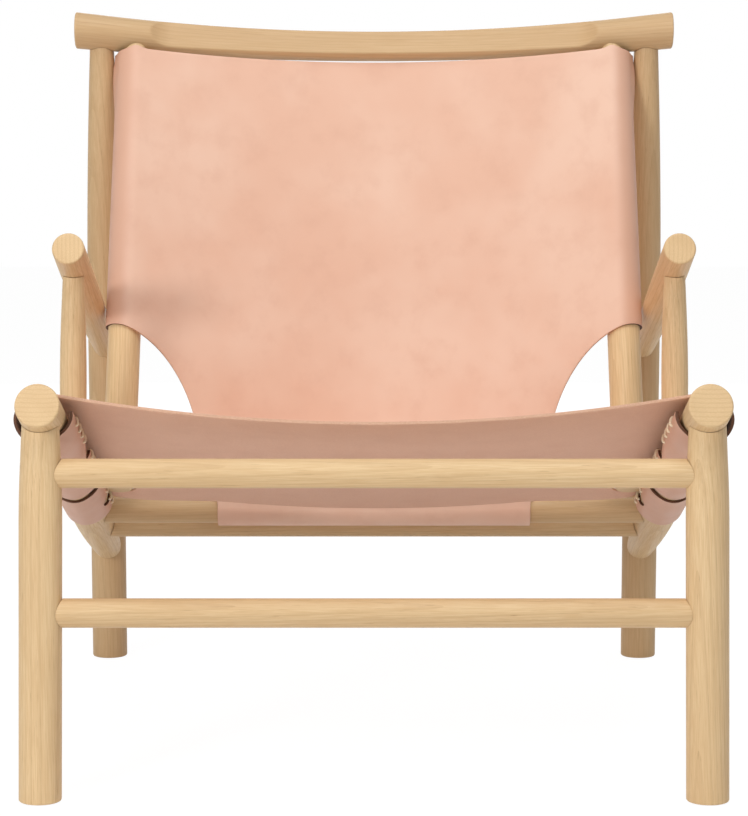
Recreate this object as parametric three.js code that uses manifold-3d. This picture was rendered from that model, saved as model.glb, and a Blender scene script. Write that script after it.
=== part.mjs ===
// Leather sling lounge chair: a rigid frame of round oak dowels that carries a leather seat and a leather back.
// Lengths are in millimetres. X points to the right, Y to the back and Z up. Each piece is worked out from a
// point on the floor in the middle of the plane through the side rails' front ends, and the last lines move
// the whole chair so that the middle of its depth lies over the origin.

import * as THREE from 'three';
import { mergeVertices } from 'three/addons/utils/BufferGeometryUtils.js';
import Module from 'manifold-3d';

const wasm = await Module();
wasm.setup();

const degree = Math.PI / 180;
const quarterTurn = 90 * degree;

// Set-out of the whole chair
const floorHalfWidth = 343;
const sideLean = 0.8 * degree;
const edgeRounding = 2.2;

// Joints: each dowel is coped to the one that takes it and has a round tenon that runs past that one's axis
const fit = 0.3;
const tenonPastAxis = 6;
const tenonRoot = 14;

// Side rails, from their square-cut front ends down to the rear posts
const railFrontHeight = 412.7;
const railAngle = 19.55 * degree;
const railRadius = 22.75;
const railTailRadius = 17;
const railStraightShare = 0.73;
const railTenonRadius = 11;

// Front legs
const frontLegY = 30.5;
const frontLegRadius = 22.1;
const frontLegNeckRadius = 19.1;
const frontLegStraightShare = 0.765;
const frontLegTenonRadius = 12;

// Rear posts, from the floor to the crest rail
const rearFootY = 776;
const rearPostRadius = 22.1;
const rearPostNeckRadius = 14.8;
const rearPostStraightShare = 0.555;
const rearPostTenonRadius = 9.5;

// Floor glides, let into the feet
const glideRadius = 15;
const glideThickness = 3.4;
const glideProud = 1;
const glideRounding = 0.6;

// Cross rails
const crossRailRadius = 15;
const crossRailTenonRadius = 9.5;
const upperFrontRailDrop = 61.77;
const frontRailSpacing = 143.7;
const rearRailFrontY = 514;
const rearRailBackY = 599;

// Arm posts, from the side rails up to the armrests
const armPostY = 332;
const armPostFootRadius = 14;
const armPostRadius = 15;
const armPostTopRadius = 11.8;
const armPostFullShare = 0.4;
const armPostFootTenonRadius = 8.5;
const armPostTopTenonRadius = 7;

// Armrests, from their square-cut front ends down to the rear posts
const armrestFrontY = 276.5;
const armrestFrontHeight = 555.4;
const armrestAngle = 19.33 * degree;
const armrestFrontRadius = 17.8;
const armrestRadius = 18.2;
const armrestTailRadius = 13;
const armrestFullFromShare = 0.3;
const armrestFullToShare = 0.4;
const armrestTenonRadius = 8;

// Crest rail: a bowed dowel that gets lower towards its middle and is planed flat in front between its ends
const crestHalfLength = 362.5;
const crestBow = 48.5;
const crestY = 650.5;
const crestHeight = 795.2;
const crestRadius = 22;
const crestMiddleHalfHeight = 17.3;
const planedFaceFront = 12.5;
const planedFromX = 276;
const planeRunOut = 28;

// Back poles, which lean back and carry the back sling
const backAngle = 22.46 * degree;
const poleInset = 41.5;
const poleRadius = 19.25;
const poleFootRise = 2.02;
const poleFootRadius = 17;
const poleFootFullShare = 0.14;
const poleNeckRadius = 14.5;
const poleNeckShare = 0.88;
const poleTenonRadius = 9;
const poleFootRounding = 5;

// Pins that hold the poles' feet to the side rails
const pinRadius = 4;
const pinAboveFoot = 11.5;
const pinIntoPole = 7;
const pinShortOfRailAxis = 2;

// Leather
const leatherThickness = 3;
const leatherClearance = 1;

// Seat sling, measured along the side rails' axes from their front ends
const seatFront = 51;
const seatRear = 504;
const seatRearBulge = 15;
const seatFrontSag = 31;
const seatRearSag = 26;
const seatFlapRise = 5;
const slitWidth = 18;
const poleSlotClearance = 2;
const notchStart = 163;
const notchDeepest = 209;
const notchEnd = 235;
const notchDrop = 13.9;

// Back sling, measured up the poles from their feet
const backTopGap = 4.5;
const backFlapTurn = 270 * degree;
const cornerCutCentre = 43.8;
const cornerCutHeight = 155.4;
const cornerCutWidth = 111;
const tongueHalfWidth = 186;
const tongueTurn = 250 * degree;

// Facets
const thickSides = 20;
const thinSides = 16;
const tenonSides = 10;
const edgeSteps = 2;
const taperSteps = 3;
const crestSteps = 14;
const runOutSteps = 3;
const crestEndSteps = 3;
const panelSteps = 12;
const wrapSteps = 12;
const tongueWrapSteps = 10;
const seatRows = 4;
const backUpperRows = 5;
const cornerRows = 7;
const tongueRows = 2;
const tangentSteps = 40;
const weldDistance = 0.001;

const oak = new THREE.MeshStandardMaterial({ color: 0xd3ac7c, roughness: 0.55, metalness: 0 });
const leather = new THREE.MeshStandardMaterial({ color: 0xe6bc9f, roughness: 0.6, metalness: 0 });
const blackFelt = new THREE.MeshStandardMaterial({ color: 0x2a2825, roughness: 0.9, metalness: 0 });
const steel = new THREE.MeshStandardMaterial({ color: 0x9a9a98, roughness: 0.35, metalness: 1 });

// Lines that the pieces share

/** Distance of a side frame's axes from the middle of the chair, at a height: the frames lean in. */
const sideX = (height) => floorHalfWidth - height * Math.tan(sideLean);

/** A point in a side frame; side is -1 for the left one and 1 for the right one. */
const onSide = (side, y, z, inset = 0) => new THREE.Vector3(side * (sideX(z) - inset), y, z);

const railHeightAt = (y) => railFrontHeight - y * Math.tan(railAngle);
const upperFrontRailHeight = railHeightAt(frontLegY) - upperFrontRailDrop;
const lowerFrontRailHeight = upperFrontRailHeight - frontRailSpacing;
const armrestHeightAt = (y) => armrestFrontHeight - (y - armrestFrontY) * Math.tan(armrestAngle);

const poleX = sideX(crestHeight) - poleInset;
const crestBowAt = (x) => crestBow * (1 - (x / crestHalfLength) ** 2);

/** A point on the crest rail's axis, which bows to the back in a plane square to the back poles. */
function crestPoint(x) {
  const back = crestBowAt(x) - crestBowAt(poleX);
  return new THREE.Vector3(x, crestY + back * Math.cos(backAngle), crestHeight - back * Math.sin(backAngle));
}

const postTop = crestPoint(sideX(crestHeight));
const postSlope = (rearFootY - postTop.y) / postTop.z;

/** Where a line that slopes down to the back meets the rear posts' axes. */
function meetPost(frontY, frontHeight, angle) {
  const drop = Math.tan(angle);
  return (rearFootY - postSlope * (frontHeight + drop * frontY)) / (1 - postSlope * drop);
}

const railEndY = meetPost(0, railFrontHeight, railAngle);
const armrestEndY = meetPost(armrestFrontY, armrestFrontHeight, armrestAngle);

/** Height at which the line of the poles comes down to poleFootRise above the side rails' axes. */
function meetRails() {
  const [lean, drop] = [Math.tan(backAngle), Math.tan(railAngle)];
  return (railHeightAt(crestY - crestHeight * lean) + poleFootRise) / (1 + lean * drop);
}

const poleFootHeight = meetRails();
const poleFootY = crestY - (crestHeight - poleFootHeight) * Math.tan(backAngle);
const crestRise = (crestHeight - poleFootHeight) / Math.cos(backAngle);

/** A point of the back, from its place across, in front of the poles' axes and up the poles from their feet. */
function onBack(x, front, rise) {
  return new THREE.Vector3(
    x,
    poleFootY + rise * Math.sin(backAngle) - front * Math.cos(backAngle),
    poleFootHeight + rise * Math.cos(backAngle) + front * Math.sin(backAngle),
  );
}

// Making solids

function signedVolume(position, triangles) {
  const [a, b, c] = [new THREE.Vector3(), new THREE.Vector3(), new THREE.Vector3()];
  let volume = 0;
  for (let i = 0; i < triangles.length; i += 3) {
    a.fromArray(position, 3 * triangles[i]);
    b.fromArray(position, 3 * triangles[i + 1]);
    c.fromArray(position, 3 * triangles[i + 2]);
    volume += a.dot(b.cross(c));
  }
  return volume;
}

/** A closed geometry as a solid, with its vertices merged and its faces turned out. */
function solid(geometry) {
  const bare = new THREE.BufferGeometry();
  bare.setAttribute('position', geometry.getAttribute('position'));
  bare.setIndex(geometry.getIndex());
  const merged = mergeVertices(bare, weldDistance);
  const position = merged.getAttribute('position').array;
  const index = merged.getIndex().array;
  const triangles = [];
  for (let i = 0; i < index.length; i += 3) {
    const corners = [index[i], index[i + 1], index[i + 2]];
    if (new Set(corners).size === 3) triangles.push(...corners);
  }
  if (signedVolume(position, triangles) < 0) triangles.reverse();
  const vertProperties = new Float32Array(position);
  const triVerts = new Uint32Array(triangles);
  return new wasm.Manifold(new wasm.Mesh({ numProp: 3, vertProperties, triVerts }));
}

/** A turned solid about Z, from [height, radius] pairs; it closes on the axis at both ends. */
function turned(outline, sides) {
  const points = outline.map(([height, radius]) => new THREE.Vector2(radius, height));
  points.unshift(new THREE.Vector2(0, points[0].y));
  points.push(new THREE.Vector2(0, points[points.length - 1].y));
  return new THREE.LatheGeometry(points, sides).rotateX(quarterTurn);
}

/** Puts a solid that stands on Z so that it runs from one point towards another. */
function along(start, end) {
  const axis = end.clone().sub(start).normalize();
  const turn = new THREE.Quaternion().setFromUnitVectors(new THREE.Vector3(0, 0, 1), axis);
  return new THREE.Matrix4().compose(start, turn, new THREE.Vector3(1, 1, 1));
}

/** Leans an upright solid in a side frame and keeps its foot level. */
function upright(side, footY, slope) {
  const inward = -side * Math.tan(sideLean);
  const spread = Math.hypot(1, slope);
  return new THREE.Matrix4().set(
    1, 0, inward, side * floorHalfWidth,
    0, spread, -slope, footY,
    0, 0, 1, 0,
    0, 0, 0, 1,
  );
}

/** Radius at a share of a dowel's shown length: full in its middle, drawn in along a curve to both ends. */
function radiusAt(turning, share) {
  const { first, full, last, fullFrom, fullTo } = turning;
  if (share < fullFrom) return full - (full - first) * ((fullFrom - share) / fullFrom) ** 2;
  if (share > fullTo) return full - (full - last) * ((share - fullTo) / (1 - fullTo)) ** 2;
  return full;
}

/** The shares of a dowel's length at which its outline needs a point. */
function outlineShares({ fullFrom, fullTo }) {
  const shares = [0];
  for (let i = 1; i <= taperSteps && fullFrom > 0; i++) shares.push(fullFrom * i / taperSteps);
  if (fullTo > fullFrom) shares.push(fullTo);
  for (let i = 1; i <= taperSteps && fullTo < 1; i++) shares.push(fullTo + (1 - fullTo) * i / taperSteps);
  if (fullTo === 1 && fullFrom < 1 && !shares.includes(1)) shares.push(1);
  return shares;
}

/** Rounded edge of a cut end, from the end face to the full radius; way is 1 at a first end and -1 at a last. */
function roundedEdge(height, radius, rounding, way) {
  const points = [];
  for (let i = 0; i <= edgeSteps; i++) {
    const angle = quarterTurn * i / edgeSteps;
    points.push([height + way * rounding * (1 - Math.sin(angle)), radius - rounding * (1 - Math.cos(angle))]);
  }
  return way > 0 ? points.reverse() : points;
}

/**
 * A dowel's outline. It shows between two heights and runs on past either by the length given, into the
 * dowel that takes it; an end that isn't taken is cut square with a rounded edge.
 */
function dowel({ from, to, before = 0, after = 0, turning, sides, grow = 0, rounding = edgeRounding }) {
  const outline = outlineShares(turning).map((share) => [
    from + (to - from) * share,
    radiusAt(turning, share) + grow,
  ]);
  const [firstRadius, lastRadius] = [outline[0][1], outline[outline.length - 1][1]];
  if (before > 0) outline.unshift([from - before, firstRadius]);
  else outline.splice(0, 1, ...roundedEdge(from - grow, firstRadius, rounding, 1));
  if (after > 0) outline.push([to + after, lastRadius]);
  else outline.splice(outline.length - 1, 1, ...roundedEdge(to + grow, lastRadius, rounding, -1));
  return turned(outline, sides);
}

/** A round tenon that runs from inside its own dowel past the axis of the dowel that takes it. */
function tenon(axisPoint, from, receiverRadius, radius, grow = 0) {
  const way = axisPoint.clone().sub(from).normalize();
  const root = axisPoint.clone().addScaledVector(way, -receiverRadius - tenonRoot - grow);
  const length = receiverRadius + tenonRoot + tenonPastAxis + 2 * grow;
  const outline = [[0, radius + grow], [length, radius + grow]];
  return solid(turned(outline, tenonSides).applyMatrix4(along(root, axisPoint)));
}

// The frame's dowels, each as a bare shape that can be grown for the cut in its neighbour

function frontLegShape(side, grow = 0) {
  const axisHeight = railHeightAt(frontLegY);
  const neckHeight = axisHeight - railRadius / Math.cos(railAngle);
  const turning = {
    first: frontLegRadius,
    full: frontLegRadius,
    last: frontLegNeckRadius,
    fullFrom: 0,
    fullTo: frontLegStraightShare,
  };
  const shape = dowel({
    from: glideProud, to: neckHeight, after: axisHeight - neckHeight, turning, sides: thickSides, grow,
  });
  return solid(shape.applyMatrix4(upright(side, frontLegY, 0)));
}

function rearPostShape(side, grow = 0) {
  const neckHeight = postTop.z - crestRadius;
  const turning = {
    first: rearPostRadius,
    full: rearPostRadius,
    last: rearPostNeckRadius,
    fullFrom: 0,
    fullTo: rearPostStraightShare,
  };
  const shape = dowel({
    from: glideProud, to: neckHeight, after: crestRadius, turning, sides: thickSides, grow,
  });
  return solid(shape.applyMatrix4(upright(side, rearFootY, postSlope)));
}

function sideRailShape(side, grow = 0) {
  const start = onSide(side, 0, railFrontHeight);
  const end = onSide(side, railEndY, railHeightAt(railEndY));
  const turning = {
    first: railRadius,
    full: railRadius,
    last: railTailRadius,
    fullFrom: 0,
    fullTo: railStraightShare,
  };
  const shown = start.distanceTo(end) - rearPostRadius;
  const shape = dowel({ from: 0, to: shown, after: rearPostRadius, turning, sides: thickSides, grow });
  return solid(shape.applyMatrix4(along(start, end)));
}

function armrestShape(side, grow = 0) {
  const start = onSide(side, armrestFrontY, armrestFrontHeight);
  const end = onSide(side, armrestEndY, armrestHeightAt(armrestEndY));
  const turning = {
    first: armrestFrontRadius,
    full: armrestRadius,
    last: armrestTailRadius,
    fullFrom: armrestFullFromShare,
    fullTo: armrestFullToShare,
  };
  const shown = start.distanceTo(end) - rearPostRadius;
  const shape = dowel({ from: 0, to: shown, after: rearPostRadius, turning, sides: thickSides, grow });
  return solid(shape.applyMatrix4(along(start, end)));
}

const armPostFoot = (side) => onSide(side, armPostY, railHeightAt(armPostY));
const armPostHead = (side) => onSide(side, armPostY, armrestHeightAt(armPostY));

function armPostShape(side, grow = 0) {
  const length = armPostFoot(side).distanceTo(armPostHead(side));
  const turning = {
    first: armPostFootRadius,
    full: armPostRadius,
    last: armPostTopRadius,
    fullFrom: armPostFullShare,
    fullTo: armPostFullShare,
  };
  const shape = dowel({
    from: railRadius, to: length - armrestRadius, before: railRadius, after: armrestRadius, turning,
    sides: thinSides, grow,
  });
  return solid(shape.applyMatrix4(along(armPostFoot(side), armPostHead(side))));
}

const poleFoot = (side) => onSide(side, poleFootY, poleFootHeight, poleInset);
const poleHead = (side) => onSide(side, crestY, crestHeight, poleInset);

function backPoleShape(side, grow = 0) {
  const length = poleFoot(side).distanceTo(poleHead(side));
  const turning = {
    first: poleFootRadius,
    full: poleRadius,
    last: poleNeckRadius,
    fullFrom: poleFootFullShare,
    fullTo: poleNeckShare,
  };
  const shape = dowel({
    from: 0, to: length - crestRadius, after: crestRadius, turning, sides: thickSides, grow,
    rounding: poleFootRounding,
  });
  return solid(shape.applyMatrix4(along(poleFoot(side), poleHead(side))));
}

const legMiddle = (side, height) => onSide(side, frontLegY, height);
const railMiddle = (side, y) => onSide(side, y, railHeightAt(y));

function crossRailShape(left, right) {
  const length = left.distanceTo(right);
  const outline = [[0, crossRailRadius], [length, crossRailRadius]];
  return solid(turned(outline, thinSides).applyMatrix4(along(left, right)));
}

/** Half the crest rail's height at a place across. */
const crestHalfHeight = (x) => (
  THREE.MathUtils.lerp(crestMiddleHalfHeight, crestRadius, (x / crestHalfLength) ** 2)
);

/** Distance of the planed face before the crest rail's axis; it runs out of the round along an arc. */
function planedFront(x) {
  const share = THREE.MathUtils.clamp((Math.abs(x) - planedFromX + planeRunOut) / planeRunOut, 0, 1);
  return THREE.MathUtils.lerp(planedFaceFront, crestRadius, share ** 2);
}

/** One ring of the crest rail, in the plane square to its axis. */
function crestRing(x, shrink, grow) {
  const slope = -2 * crestBow * x / crestHalfLength ** 2;
  const upward = new THREE.Vector3(0, Math.sin(backAngle), Math.cos(backAngle));
  const frontward = new THREE.Vector3(slope, -Math.cos(backAngle), Math.sin(backAngle)).normalize();
  const centre = crestPoint(x);
  const ring = [];
  for (let i = 0; i < thickSides; i++) {
    const angle = 4 * quarterTurn * i / thickSides;
    const front = Math.min((crestRadius - shrink + grow) * Math.cos(angle), planedFront(x) + grow);
    const up = (crestHalfHeight(x) - shrink + grow) * Math.sin(angle);
    ring.push(centre.clone().addScaledVector(frontward, front).addScaledVector(upward, up));
  }
  return ring;
}

/** Places across where the crest rail gets a ring, from its left end to its right. */
function crestStations() {
  const flatHalf = planedFromX - planeRunOut;
  const stations = [];
  for (let i = 0; i <= crestSteps; i++) stations.push(flatHalf * (2 * i / crestSteps - 1));
  for (const side of [-1, 1]) {
    for (let i = 1; i <= runOutSteps; i++) stations.push(side * (flatHalf + planeRunOut * i / runOutSteps));
    for (let i = 1; i <= crestEndSteps; i++) {
      stations.push(side * THREE.MathUtils.lerp(planedFromX, crestHalfLength - edgeRounding, i / crestEndSteps));
    }
  }
  return stations.sort((a, b) => a - b);
}

/** A solid through a row of rings, closed by a fan at each end. */
function loft(rings) {
  const size = rings[0].length;
  const points = rings.flat();
  const ends = [rings[0], rings[rings.length - 1]];
  const centres = ends.map((ring) => ring.reduce((sum, p) => sum.add(p), new THREE.Vector3()).divideScalar(size));
  const index = [];
  for (let i = 0; i < size; i++) {
    const next = (i + 1) % size;
    for (let k = 0; k < rings.length - 1; k++) {
      const [a, b] = [k * size + i, k * size + next];
      const [c, d] = [a + size, b + size];
      index.push(a, b, d, a, d, c);
    }
    const last = points.length - size;
    index.push(points.length, next, i);
    index.push(points.length + 1, last + i, last + next);
  }
  const geometry = new THREE.BufferGeometry().setFromPoints([...points, ...centres]);
  geometry.setIndex(index);
  return geometry;
}

function crestShape(grow = 0) {
  const rings = crestStations().map((x) => crestRing(x, 0, grow));
  for (const side of [-1, 1]) {
    for (let i = 1; i <= edgeSteps; i++) {
      const angle = quarterTurn * i / edgeSteps;
      const x = side * (crestHalfLength - edgeRounding * (1 - Math.sin(angle)));
      const ring = crestRing(x, edgeRounding * (1 - Math.cos(angle)), grow);
      if (side < 0) rings.unshift(ring);
      else rings.push(ring);
    }
  }
  return solid(loft(rings));
}

// Tenons; grown by the fit, each of them is the mortise of its neighbour

const legTenon = (side, grow) => tenon(
  onSide(side, frontLegY, railHeightAt(frontLegY)), onSide(side, frontLegY, 0), railRadius,
  frontLegTenonRadius, grow,
);
const railTenon = (side, grow) => tenon(
  onSide(side, railEndY, railHeightAt(railEndY)), onSide(side, 0, railFrontHeight), rearPostRadius,
  railTenonRadius, grow,
);
const armrestTenon = (side, grow) => tenon(
  onSide(side, armrestEndY, armrestHeightAt(armrestEndY)), onSide(side, armrestFrontY, armrestFrontHeight),
  rearPostRadius, armrestTenonRadius, grow,
);
const postTenon = (side, grow) => tenon(
  onSide(side, postTop.y, postTop.z), onSide(side, rearFootY, 0), crestRadius, rearPostTenonRadius, grow,
);
const poleTenon = (side, grow) => tenon(
  poleHead(side), poleFoot(side), crestRadius, poleTenonRadius, grow,
);
const armPostFootTenon = (side, grow) => tenon(
  armPostFoot(side), armPostHead(side), railRadius, armPostFootTenonRadius, grow,
);
const armPostHeadTenon = (side, grow) => tenon(
  armPostHead(side), armPostFoot(side), armrestRadius, armPostTopTenonRadius, grow,
);
const frontRailTenon = (side, height, grow) => tenon(
  legMiddle(side, height), legMiddle(-side, height), frontLegRadius, crossRailTenonRadius, grow,
);
const rearRailTenon = (side, y, grow) => tenon(
  railMiddle(side, y), railMiddle(-side, y), railRadius, crossRailTenonRadius, grow,
);

// Small hardware

function glideShape(side, y, grow = 0) {
  const radius = glideRadius + grow;
  const outline = grow > 0
    ? [[-edgeRounding, radius], [glideThickness + grow, radius]]
    : [...roundedEdge(0, radius, glideRounding, 1), [glideThickness, radius]];
  return solid(turned(outline, thinSides).translate(side * floorHalfWidth, y, 0));
}

function polePinShape(side, grow = 0) {
  const height = poleFootHeight + pinAboveFoot * Math.cos(backAngle);
  const y = poleFootY + pinAboveFoot * Math.sin(backAngle);
  const inner = onSide(side, y, height, poleInset + pinIntoPole + grow);
  const outer = onSide(side, y, height, pinShortOfRailAxis - grow);
  const outline = [[0, pinRadius + grow], [inner.distanceTo(outer), pinRadius + grow]];
  return solid(turned(outline, tenonSides).applyMatrix4(along(inner, outer)));
}

// The finished pieces of the frame

function frontLeg(side) {
  return frontLegShape(side)
    .subtract(sideRailShape(side, fit))
    .add(legTenon(side, 0))
    .subtract(frontRailTenon(side, upperFrontRailHeight, fit))
    .subtract(frontRailTenon(side, lowerFrontRailHeight, fit))
    .subtract(glideShape(side, frontLegY, fit));
}

function rearPost(side) {
  return rearPostShape(side)
    .subtract(crestShape(fit))
    .add(postTenon(side, 0))
    .subtract(railTenon(side, fit))
    .subtract(armrestTenon(side, fit))
    .subtract(glideShape(side, rearFootY, fit));
}

function sideRail(side) {
  return sideRailShape(side)
    .subtract(rearPostShape(side, fit))
    .add(railTenon(side, 0))
    .subtract(legTenon(side, fit))
    .subtract(armPostFootTenon(side, fit))
    .subtract(rearRailTenon(side, rearRailFrontY, fit))
    .subtract(rearRailTenon(side, rearRailBackY, fit))
    .subtract(polePinShape(side, fit));
}

function armrest(side) {
  return armrestShape(side)
    .subtract(rearPostShape(side, fit))
    .add(armrestTenon(side, 0))
    .subtract(armPostHeadTenon(side, fit));
}

function armPost(side) {
  return armPostShape(side)
    .subtract(sideRailShape(side, fit))
    .subtract(armrestShape(side, fit))
    .add(armPostFootTenon(side, 0))
    .add(armPostHeadTenon(side, 0));
}

function backPole(side) {
  return backPoleShape(side)
    .subtract(crestShape(fit))
    .add(poleTenon(side, 0))
    .subtract(polePinShape(side, fit));
}

function frontRail(height) {
  let rail = crossRailShape(legMiddle(-1, height), legMiddle(1, height));
  for (const side of [-1, 1]) {
    rail = rail.subtract(frontLegShape(side, fit)).add(frontRailTenon(side, height, 0));
  }
  return rail;
}

function rearRail(y) {
  let rail = crossRailShape(railMiddle(-1, y), railMiddle(1, y));
  for (const side of [-1, 1]) {
    rail = rail.subtract(sideRailShape(side, fit)).add(rearRailTenon(side, y, 0));
  }
  return rail;
}

function crestRail() {
  let rail = crestShape();
  for (const side of [-1, 1]) {
    rail = rail.subtract(postTenon(side, fit)).subtract(poleTenon(side, fit));
  }
  return rail;
}

// Leather sheets

/** How a sheet lies that hangs as a parabola between two round bars and leaves each of them at a tangent. */
function slung(halfSpan, radius, middle) {
  let angle = 0;
  for (let i = 0; i < tangentSteps; i++) {
    angle = Math.atan(2 * (radius * Math.cos(angle) - middle) / (halfSpan - radius * Math.sin(angle)));
  }
  const edge = halfSpan - radius * Math.sin(angle);
  return { angle, edge, curvature: Math.tan(angle) / (2 * edge) };
}

/** Radius of a sheet's middle round a bar, so that its flat facets clear the bar as well. */
function wrapRadius(barRadius, turn, steps) {
  return (barRadius + fit) / Math.cos(turn / steps / 2) + leatherThickness / 2;
}

/** The columns of a sling from its left flap over both bars to its right flap. */
function slingColumns() {
  const columns = [];
  for (let i = wrapSteps; i > 0; i--) columns.push({ side: -1, wrap: i / wrapSteps });
  for (let i = 0; i <= panelSteps; i++) columns.push({ side: 0, across: 2 * i / panelSteps - 1 });
  for (let i = 1; i <= wrapSteps; i++) columns.push({ side: 1, wrap: i / wrapSteps });
  return columns;
}

/** A column's place across and above the bars' axes; the turn is measured from the top over the outside. */
function acrossSling(column, { halfSpan, radius, middle, turn }) {
  const { angle, edge, curvature } = slung(halfSpan, radius, middle);
  if (column.side === 0) {
    const x = column.across * edge;
    return [x, middle + curvature * x * x];
  }
  const around = column.wrap * (turn + angle) - angle;
  return [column.side * (halfSpan + radius * Math.sin(around)), radius * Math.cos(around)];
}

/** A closed sheet of even thickness over a grid of places; a cell with a missing corner is left out. */
function sheet(places) {
  const width = places[0].length;
  const at = (i, j) => (places[i] ? places[i][j] : null) ?? null;
  const points = [];
  for (let i = 0; i < places.length; i++) {
    for (let j = 0; j < width; j++) {
      const here = at(i, j) ?? new THREE.Vector3();
      const alongRow = (at(i, j + 1) ?? here).clone().sub(at(i, j - 1) ?? here);
      const alongColumn = (at(i + 1, j) ?? here).clone().sub(at(i - 1, j) ?? here);
      const normal = alongRow.cross(alongColumn).normalize();
      for (const face of [1, -1]) {
        points.push(here.clone().addScaledVector(normal, face * leatherThickness / 2));
      }
    }
  }
  const corner = (i, j, face) => 2 * (i * width + j) + face;
  const isCell = (i, j) => Boolean(at(i, j) && at(i, j + 1) && at(i + 1, j) && at(i + 1, j + 1));
  const index = [];
  const quad = (a, b, c, d) => index.push(a, b, c, a, c, d);
  const wall = (i, j, k, l) => quad(corner(i, j, 0), corner(i, j, 1), corner(k, l, 1), corner(k, l, 0));
  for (let i = 0; i < places.length; i++) {
    for (let j = 0; j < width; j++) {
      if (!isCell(i, j)) continue;
      quad(corner(i, j, 0), corner(i, j + 1, 0), corner(i + 1, j + 1, 0), corner(i + 1, j, 0));
      quad(corner(i, j, 1), corner(i + 1, j, 1), corner(i + 1, j + 1, 1), corner(i, j + 1, 1));
      if (!isCell(i - 1, j)) wall(i, j, i, j + 1);
      if (!isCell(i + 1, j)) wall(i + 1, j + 1, i + 1, j);
      if (!isCell(i, j - 1)) wall(i + 1, j, i, j);
      if (!isCell(i, j + 1)) wall(i, j + 1, i + 1, j + 1);
    }
  }
  const geometry = new THREE.BufferGeometry().setFromPoints(points);
  geometry.setIndex(index);
  return solid(geometry);
}

/** A flat outline, of [across, height] pairs, extruded by a depth and then put in its place. */
function prism(outline, matrix, depth) {
  const shape = new THREE.Shape(outline.map(([across, height]) => new THREE.Vector2(across, height)));
  const geometry = new THREE.ExtrudeGeometry(shape, { depth, bevelEnabled: false });
  return solid(geometry.applyMatrix4(matrix));
}

// Seat sling

const seatTurn = 3 * quarterTurn + Math.asin(seatFlapRise / (railRadius + fit + leatherThickness / 2));
const seatRadius = wrapRadius(railRadius, seatTurn, wrapSteps);
const seatReach = seatRadius + leatherThickness;

/** A point of the seat, from its place across, above the side rails' axes and along them from the front. */
function onSeat(x, above, station) {
  return new THREE.Vector3(
    x,
    station * Math.cos(railAngle) + above * Math.sin(railAngle),
    railFrontHeight - station * Math.sin(railAngle) + above * Math.cos(railAngle),
  );
}

const seatHalfSpan = (station) => sideX(railFrontHeight - station * Math.sin(railAngle));

/** The seat's section at a station; towards the back it hangs less deep. */
function seatSection(station) {
  const sag = THREE.MathUtils.mapLinear(station, seatFront, seatRear, seatFrontSag, seatRearSag);
  return { halfSpan: seatHalfSpan(station), radius: seatRadius, middle: seatRadius - sag, turn: seatTurn };
}

/** The seat's flat rows; between the rails its rear edge is cut in a bow. */
function seatSheet() {
  const places = [];
  for (let i = 0; i <= seatRows; i++) {
    places.push(slingColumns().map((column) => {
      const bulge = column.side === 0 ? seatRearBulge * (1 - column.across ** 2) : 0;
      const station = THREE.MathUtils.lerp(seatFront, seatRear + bulge, i / seatRows);
      return onSeat(...acrossSling(column, seatSection(station)), station);
    }));
  }
  return sheet(places);
}

/** The slit from an arm post's hole over the outside and the underside of the rail to the flap's edge. */
function armPostSlit(side) {
  const { x, z } = armPostFoot(side);
  const reach = seatReach / Math.cos(railAngle);
  const flapTop = z + (seatFlapRise + leatherThickness) / Math.cos(railAngle);
  const outline = [
    [x, z + reach], [x + side * reach, z + reach], [x + side * reach, z - reach],
    [x - side * reach, z - reach], [x - side * reach, flapTop], [x, flapTop],
  ];
  const placed = new THREE.Matrix4()
    .makeTranslation(0, armPostY + slitWidth / 2, 0)
    .multiply(new THREE.Matrix4().makeRotationX(quarterTurn));
  return prism(outline, placed, slitWidth);
}

/** The shallow notch in a flap's edge, on the inner side of the rail. */
function flapNotch(side) {
  const top = seatFlapRise + leatherThickness;
  const outline = [[notchStart, top], [notchEnd, top], [notchEnd, seatFlapRise],
    [notchDeepest, seatFlapRise - notchDrop], [notchStart, seatFlapRise]];
  const inner = side > 0 ? seatHalfSpan(notchDeepest) - seatReach : -seatHalfSpan(notchDeepest);
  const origin = onSeat(inner, 0, 0);
  const placed = new THREE.Matrix4().set(
    0, 0, 1, origin.x,
    Math.cos(railAngle), Math.sin(railAngle), 0, origin.y,
    -Math.sin(railAngle), Math.cos(railAngle), 0, origin.z,
    0, 0, 0, 1,
  );
  return prism(outline, placed, seatReach);
}

function seatSling() {
  let sling = seatSheet();
  for (const side of [-1, 1]) {
    sling = sling
      .subtract(frontLegShape(side, leatherClearance))
      .subtract(armPostShape(side, leatherClearance))
      .subtract(armPostSlit(side))
      .subtract(flapNotch(side))
      .subtract(backPoleShape(side, poleSlotClearance));
  }
  return sling;
}

// Back sling

const backRadius = wrapRadius(poleRadius, backFlapTurn, wrapSteps);
const tongueRadius = wrapRadius(crossRailRadius, tongueTurn, tongueWrapSteps);

/** The place of a point of the chair's middle plane in the back's own frame: [in front, up]. */
function inBack(y, z) {
  const [dy, dz] = [y - poleFootY, z - poleFootHeight];
  return new THREE.Vector2(
    dz * Math.sin(backAngle) - dy * Math.cos(backAngle),
    dy * Math.sin(backAngle) + dz * Math.cos(backAngle),
  );
}

const tongueBar = inBack(rearRailFrontY, railHeightAt(rearRailFrontY));
const backTop = new THREE.Vector2(
  crestBowAt(poleX) - crestBowAt(0),
  crestRise - crestHalfHeight(0) - backTopGap,
);

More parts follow.
